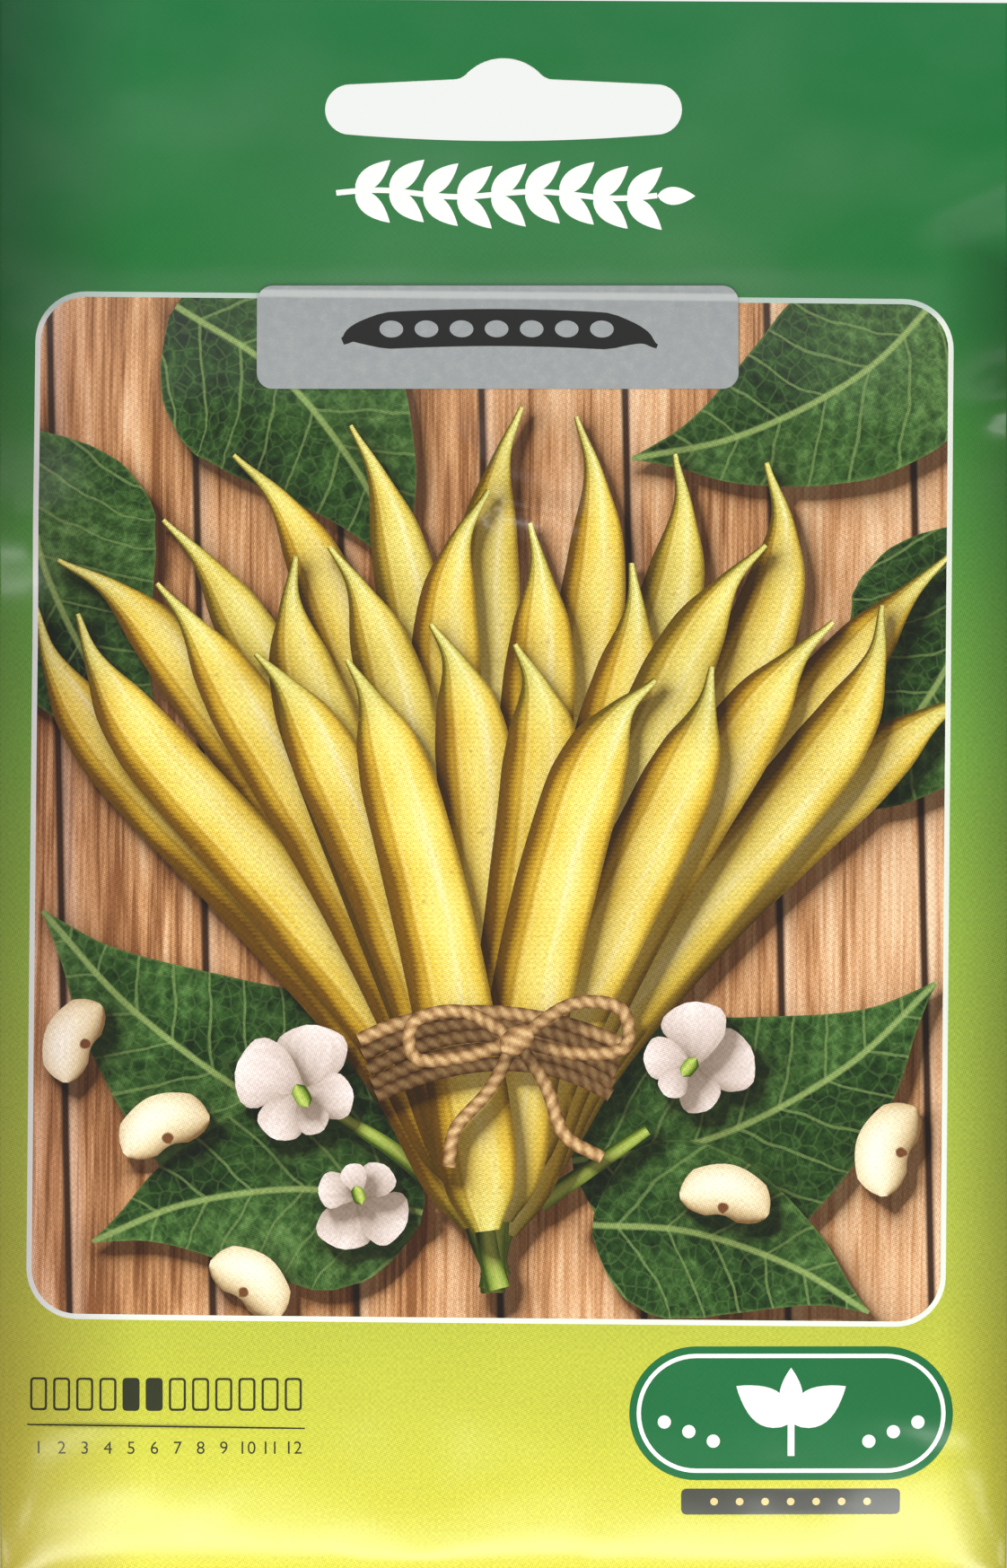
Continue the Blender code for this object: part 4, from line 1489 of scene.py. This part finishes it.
def paint_corners(mesh, verts, faces, owner, picture, shapes):
    """Per-corner numbers that the print's materials read: place in the shape, shadow, luck and ink."""
    art = np.zeros((len(mesh.loops), 3))
    tone = np.zeros((len(mesh.loops), 3))
    ink = np.ones((len(mesh.loops), 4))
    flat_points = panel_point(verts - (FRONT_START + INNER_HALF, 0.0))
    gaps = shade_gaps(flat_points, picture)
    corner_of = np.arange(len(faces) * 3).reshape(-1, 3)
    ground = owner == GROUND
    at = faces[ground].ravel()
    art[corner_of[ground].ravel(), :2] = flat_points[at]
    tone[corner_of[ground].ravel(), 0] = gaps[-1][at]
    for number, shape in enumerate(shapes):
        mine = owner == number
        into = corner_of[mine].ravel()
        if isinstance(shape, Patch):
            ink[into, :3] = shape.colour
        elif mine.any():
            at = faces[mine].ravel()
            unique, back = np.unique(at, return_inverse=True)
            art[into] = np.stack(shape.measure(flat_points[unique])[:3], axis=-1)[back]
            tone[into, 0] = gaps[number][at]
            tone[into, 1:] = shape.luck, shape.length
    store(mesh, "art", "FLOAT_VECTOR", "CORNER", art)
    store(mesh, "tone", "FLOAT_VECTOR", "CORNER", tone)
    store(mesh, "ink", "FLOAT_COLOR", "CORNER", ink)


def lay_out_bake_map(mesh, verts, faces):
    """A flat map of the web for the printed side, with the inside and the edges in a strip above it."""
    span = max(WEB_END, TOP_RIGHT - WEB_FOOT) * 1.02
    place = np.stack((verts[:, 0] / span, (verts[:, 1] - WEB_FOOT) / span), axis=-1)
    inside = place * (1.0, 0.10) + (0.0, 0.88)
    loops = np.zeros(len(mesh.loops), np.int32)
    mesh.loops.foreach_get("vertex_index", loops)
    printed = np.arange(len(loops)) < len(faces) * 3
    at = loops % len(verts)
    layout = np.where(printed[:, None], place[at], inside[at])
    mesh.uv_layers.new(name="OFBake").data.foreach_set("uv", layout.astype(np.float32).ravel())


def label_material():
    """Thin translucent label paper: cloudy, with fibres and a soft satin face."""
    graph = Graph("label_paper")
    s, v, _ = graph.attribute("web")
    at = graph.vector(s, v)
    cloud = graph.noise(at, scale=0.9, detail=5.0, roughness=0.7)
    speck = graph.noise(at, scale=7.0)
    tooth = graph.noise(at, scale=2.5, detail=3.0, roughness=0.7)
    colour = ((speck - 0.5) * 0.5 + cloud).ramp(
        (0.2, (139, 144, 146)),
        (0.5, (148, 152, 153)),
        (0.8, (161, 164, 163)),
    )
    # The picture's border line shows through, turned as the panel is
    line = 1.0 - abs(s * -math.radians(PANEL_TURN) + v - LABEL_SHOWS).step(0.18, 0.5)
    ink = graph.node("Attribute", output="Fac", attribute_name="ink")
    return graph.finish({
        "Base Color": graph.layers(colour, (line * 0.6, (196, 199, 197)), (1.0 - ink, (12, 11, 11))),
        "Roughness": 0.42,
        "Specular IOR Level": GLOSS,
        "Normal": graph.bump(tooth * 0.012, 0.5),
    })


def label_mark():
    """A black pod with its row of seeds left open, in the label's middle."""
    spine = curve_through(((-14.6, -0.4), (-12.0, 0.5), (0.0, 0.9), (12.0, 0.4), (15.0, -0.9)), 10)
    body = smooth_profile(((0, 0.15), (0.06, 0.6), (0.14, 1.0), (0.84, 1.0), (0.93, 0.5), (1.0, 0.08)))
    seeds = [ellipse((-10.0 + 3.3 * n, 0.78 - 0.003 * (n - 3) ** 2), 1.12, 0.8, -2.0, 20) for n in range(7)]
    return [Ribbon(spine, body, 1.75, "flat").outline()] + seeds


def make_label():
    """The label: a rounded sheet that follows the front, with its mark as faces of their own."""
    border = rounded_rectangle((0, 0), LABEL_SIZE, LABEL_CORNER, 8)
    mark = label_mark()
    ends = np.array(LABEL_SIZE) / 2 - 0.6
    cuts = Cuts(np.linspace(-ends[0], ends[0], 60), np.linspace(-ends[1], ends[1], 14))
    for loop in [border] + mark:
        cuts.outline(loop)
    verts, faces = cuts.triangles()
    faces = faces[in_loops(verts[faces].mean(1), [border])]
    black = in_loops(verts[faces].mean(1), mark)
    s, v = (front_to_web(verts) + LABEL_CENTRE).T
    normal = web_normal(s, v)
    curl = LABEL_CURL * ramp(np.abs(verts[:, 0]), LABEL_SIZE[0] / 2 - LABEL_CURL_REACH, LABEL_SIZE[0] / 2)
    under = web_surface(s, v) + normal * (PAPER / 2 + LABEL_LIFT) - curl[:, None] * (0, 1, 0)
    label = paper_sheet("label_sheet", verts, under + normal * LABEL_PAPER, under, normal, faces)
    ink = np.ones((len(label.data.loops), 4))
    ink[: len(faces) * 3, :3] = 1.0 - np.repeat(black, 3)[:, None]
    store(label.data, "ink", "FLOAT_COLOR", "CORNER", ink)
    label.data.materials.append(label_material())
    return label


def seed_coat_material():
    """Cream seed coat, faintly mottled and waxy."""
    graph = Graph("seed_coat")
    mottle = graph.noise(graph.node("TexCoord", output="Object"), scale=420.0, detail=3.0)
    return graph.finish({
        "Base Color": mottle.ramp((0.3, (214, 196, 160)), (0.7, (240, 230, 204))),
        "Roughness": 0.38,
    })


# Studio

def area_light(name, place, target, size, power):
    """A soft rectangular light that the camera doesn't see."""
    light = bpy.data.lights.new(name, "AREA")
    light.shape = "RECTANGLE"
    light.size, light.size_y = size
    light.energy = power
    lamp = new_object(name, light)
    lamp.location = place
    lamp.rotation_euler = (Vector(target) - Vector(place)).to_track_quat("-Z", "Y").to_euler()
    lamp.visible_camera = False


def surroundings():
    """Pale room: nearly white behind the packet, as seen through its slot, and dimmer in front of it."""
    world = bpy.data.worlds.new("studio")
    world.use_nodes = True
    tree = world.node_tree
    direction = tree.nodes.new("ShaderNodeTexCoord")
    split = tree.nodes.new("ShaderNodeSeparateXYZ")
    spread = tree.nodes.new("ShaderNodeValToRGB")
    tree.links.new(direction.outputs["Generated"], split.inputs[0])
    tree.links.new(split.outputs[1], spread.inputs[0])
    tree.links.new(spread.outputs[0], tree.nodes["Background"].inputs[0])
    for element, place, colour in zip(spread.color_ramp.elements, (0.0, 0.9), (ROOM_FRONT, ROOM_BACK)):
        element.position = place
        element.color = (*colour, 1.0)
    return world


def make_floor():
    """A pale floor well below the packet."""
    mesh = bpy.data.meshes.new("floor")
    corners = np.array(((-1, -1, 0), (1, -1, 0), (1, 1, 0), (-1, 1, 0))) * FLOOR_REACH + (0, 0, FLOOR_LEVEL)
    mesh.from_pydata(corners.tolist(), [], [(0, 1, 2, 3)])
    mesh.materials.append(Graph("floor").finish({"Base Color": FLOOR_COLOUR, "Roughness": 0.8}))
    return new_object("floor", mesh)


def scan_camera():
    """The scanner's view of the front: a long lens, straight at it, framed like the photo."""
    camera = bpy.data.cameras.new("scan_camera")
    camera.lens = LENS
    camera.sensor_width = SENSOR
    camera.clip_start = 0.05
    scan = new_object("scan_camera", camera)
    picture_height = PHOTO_SIZE[1] * PHOTO_SCALE * MM
    top_of_photo = ((TOP_LEFT + TOP_RIGHT) / 2 + PHOTO_ABOVE) * MM
    distance = picture_height * FRAME_TRIM * LENS / SENSOR
    scan.location = (0.0, -distance, top_of_photo - picture_height / 2)
    scan.rotation_euler = (math.pi / 2, 0.0, 0.0)
    return scan


def make_studio():
    """Pale floor, pale surroundings, soft lights and the camera."""
    scene = bpy.context.scene
    scene.view_settings.view_transform = "Standard"
    scene.world = surroundings()
    make_floor()
    for light in LIGHTS:
        area_light(*light)
    scene.camera = scan_camera()


def main():
    """Everything in order: the studio, the skin, the label and the seeds' coat."""
    make_studio()
    skin = make_skin()
    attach(skin, "root")
    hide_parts("packet_body")
    label = make_label()
    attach(label, "root")
    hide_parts("title_label")
    coat = seed_coat_material()
    for name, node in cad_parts.items():
        if name.startswith("bean_seed"):
            node.data.materials.clear()
            node.data.materials.append(coat)


main()
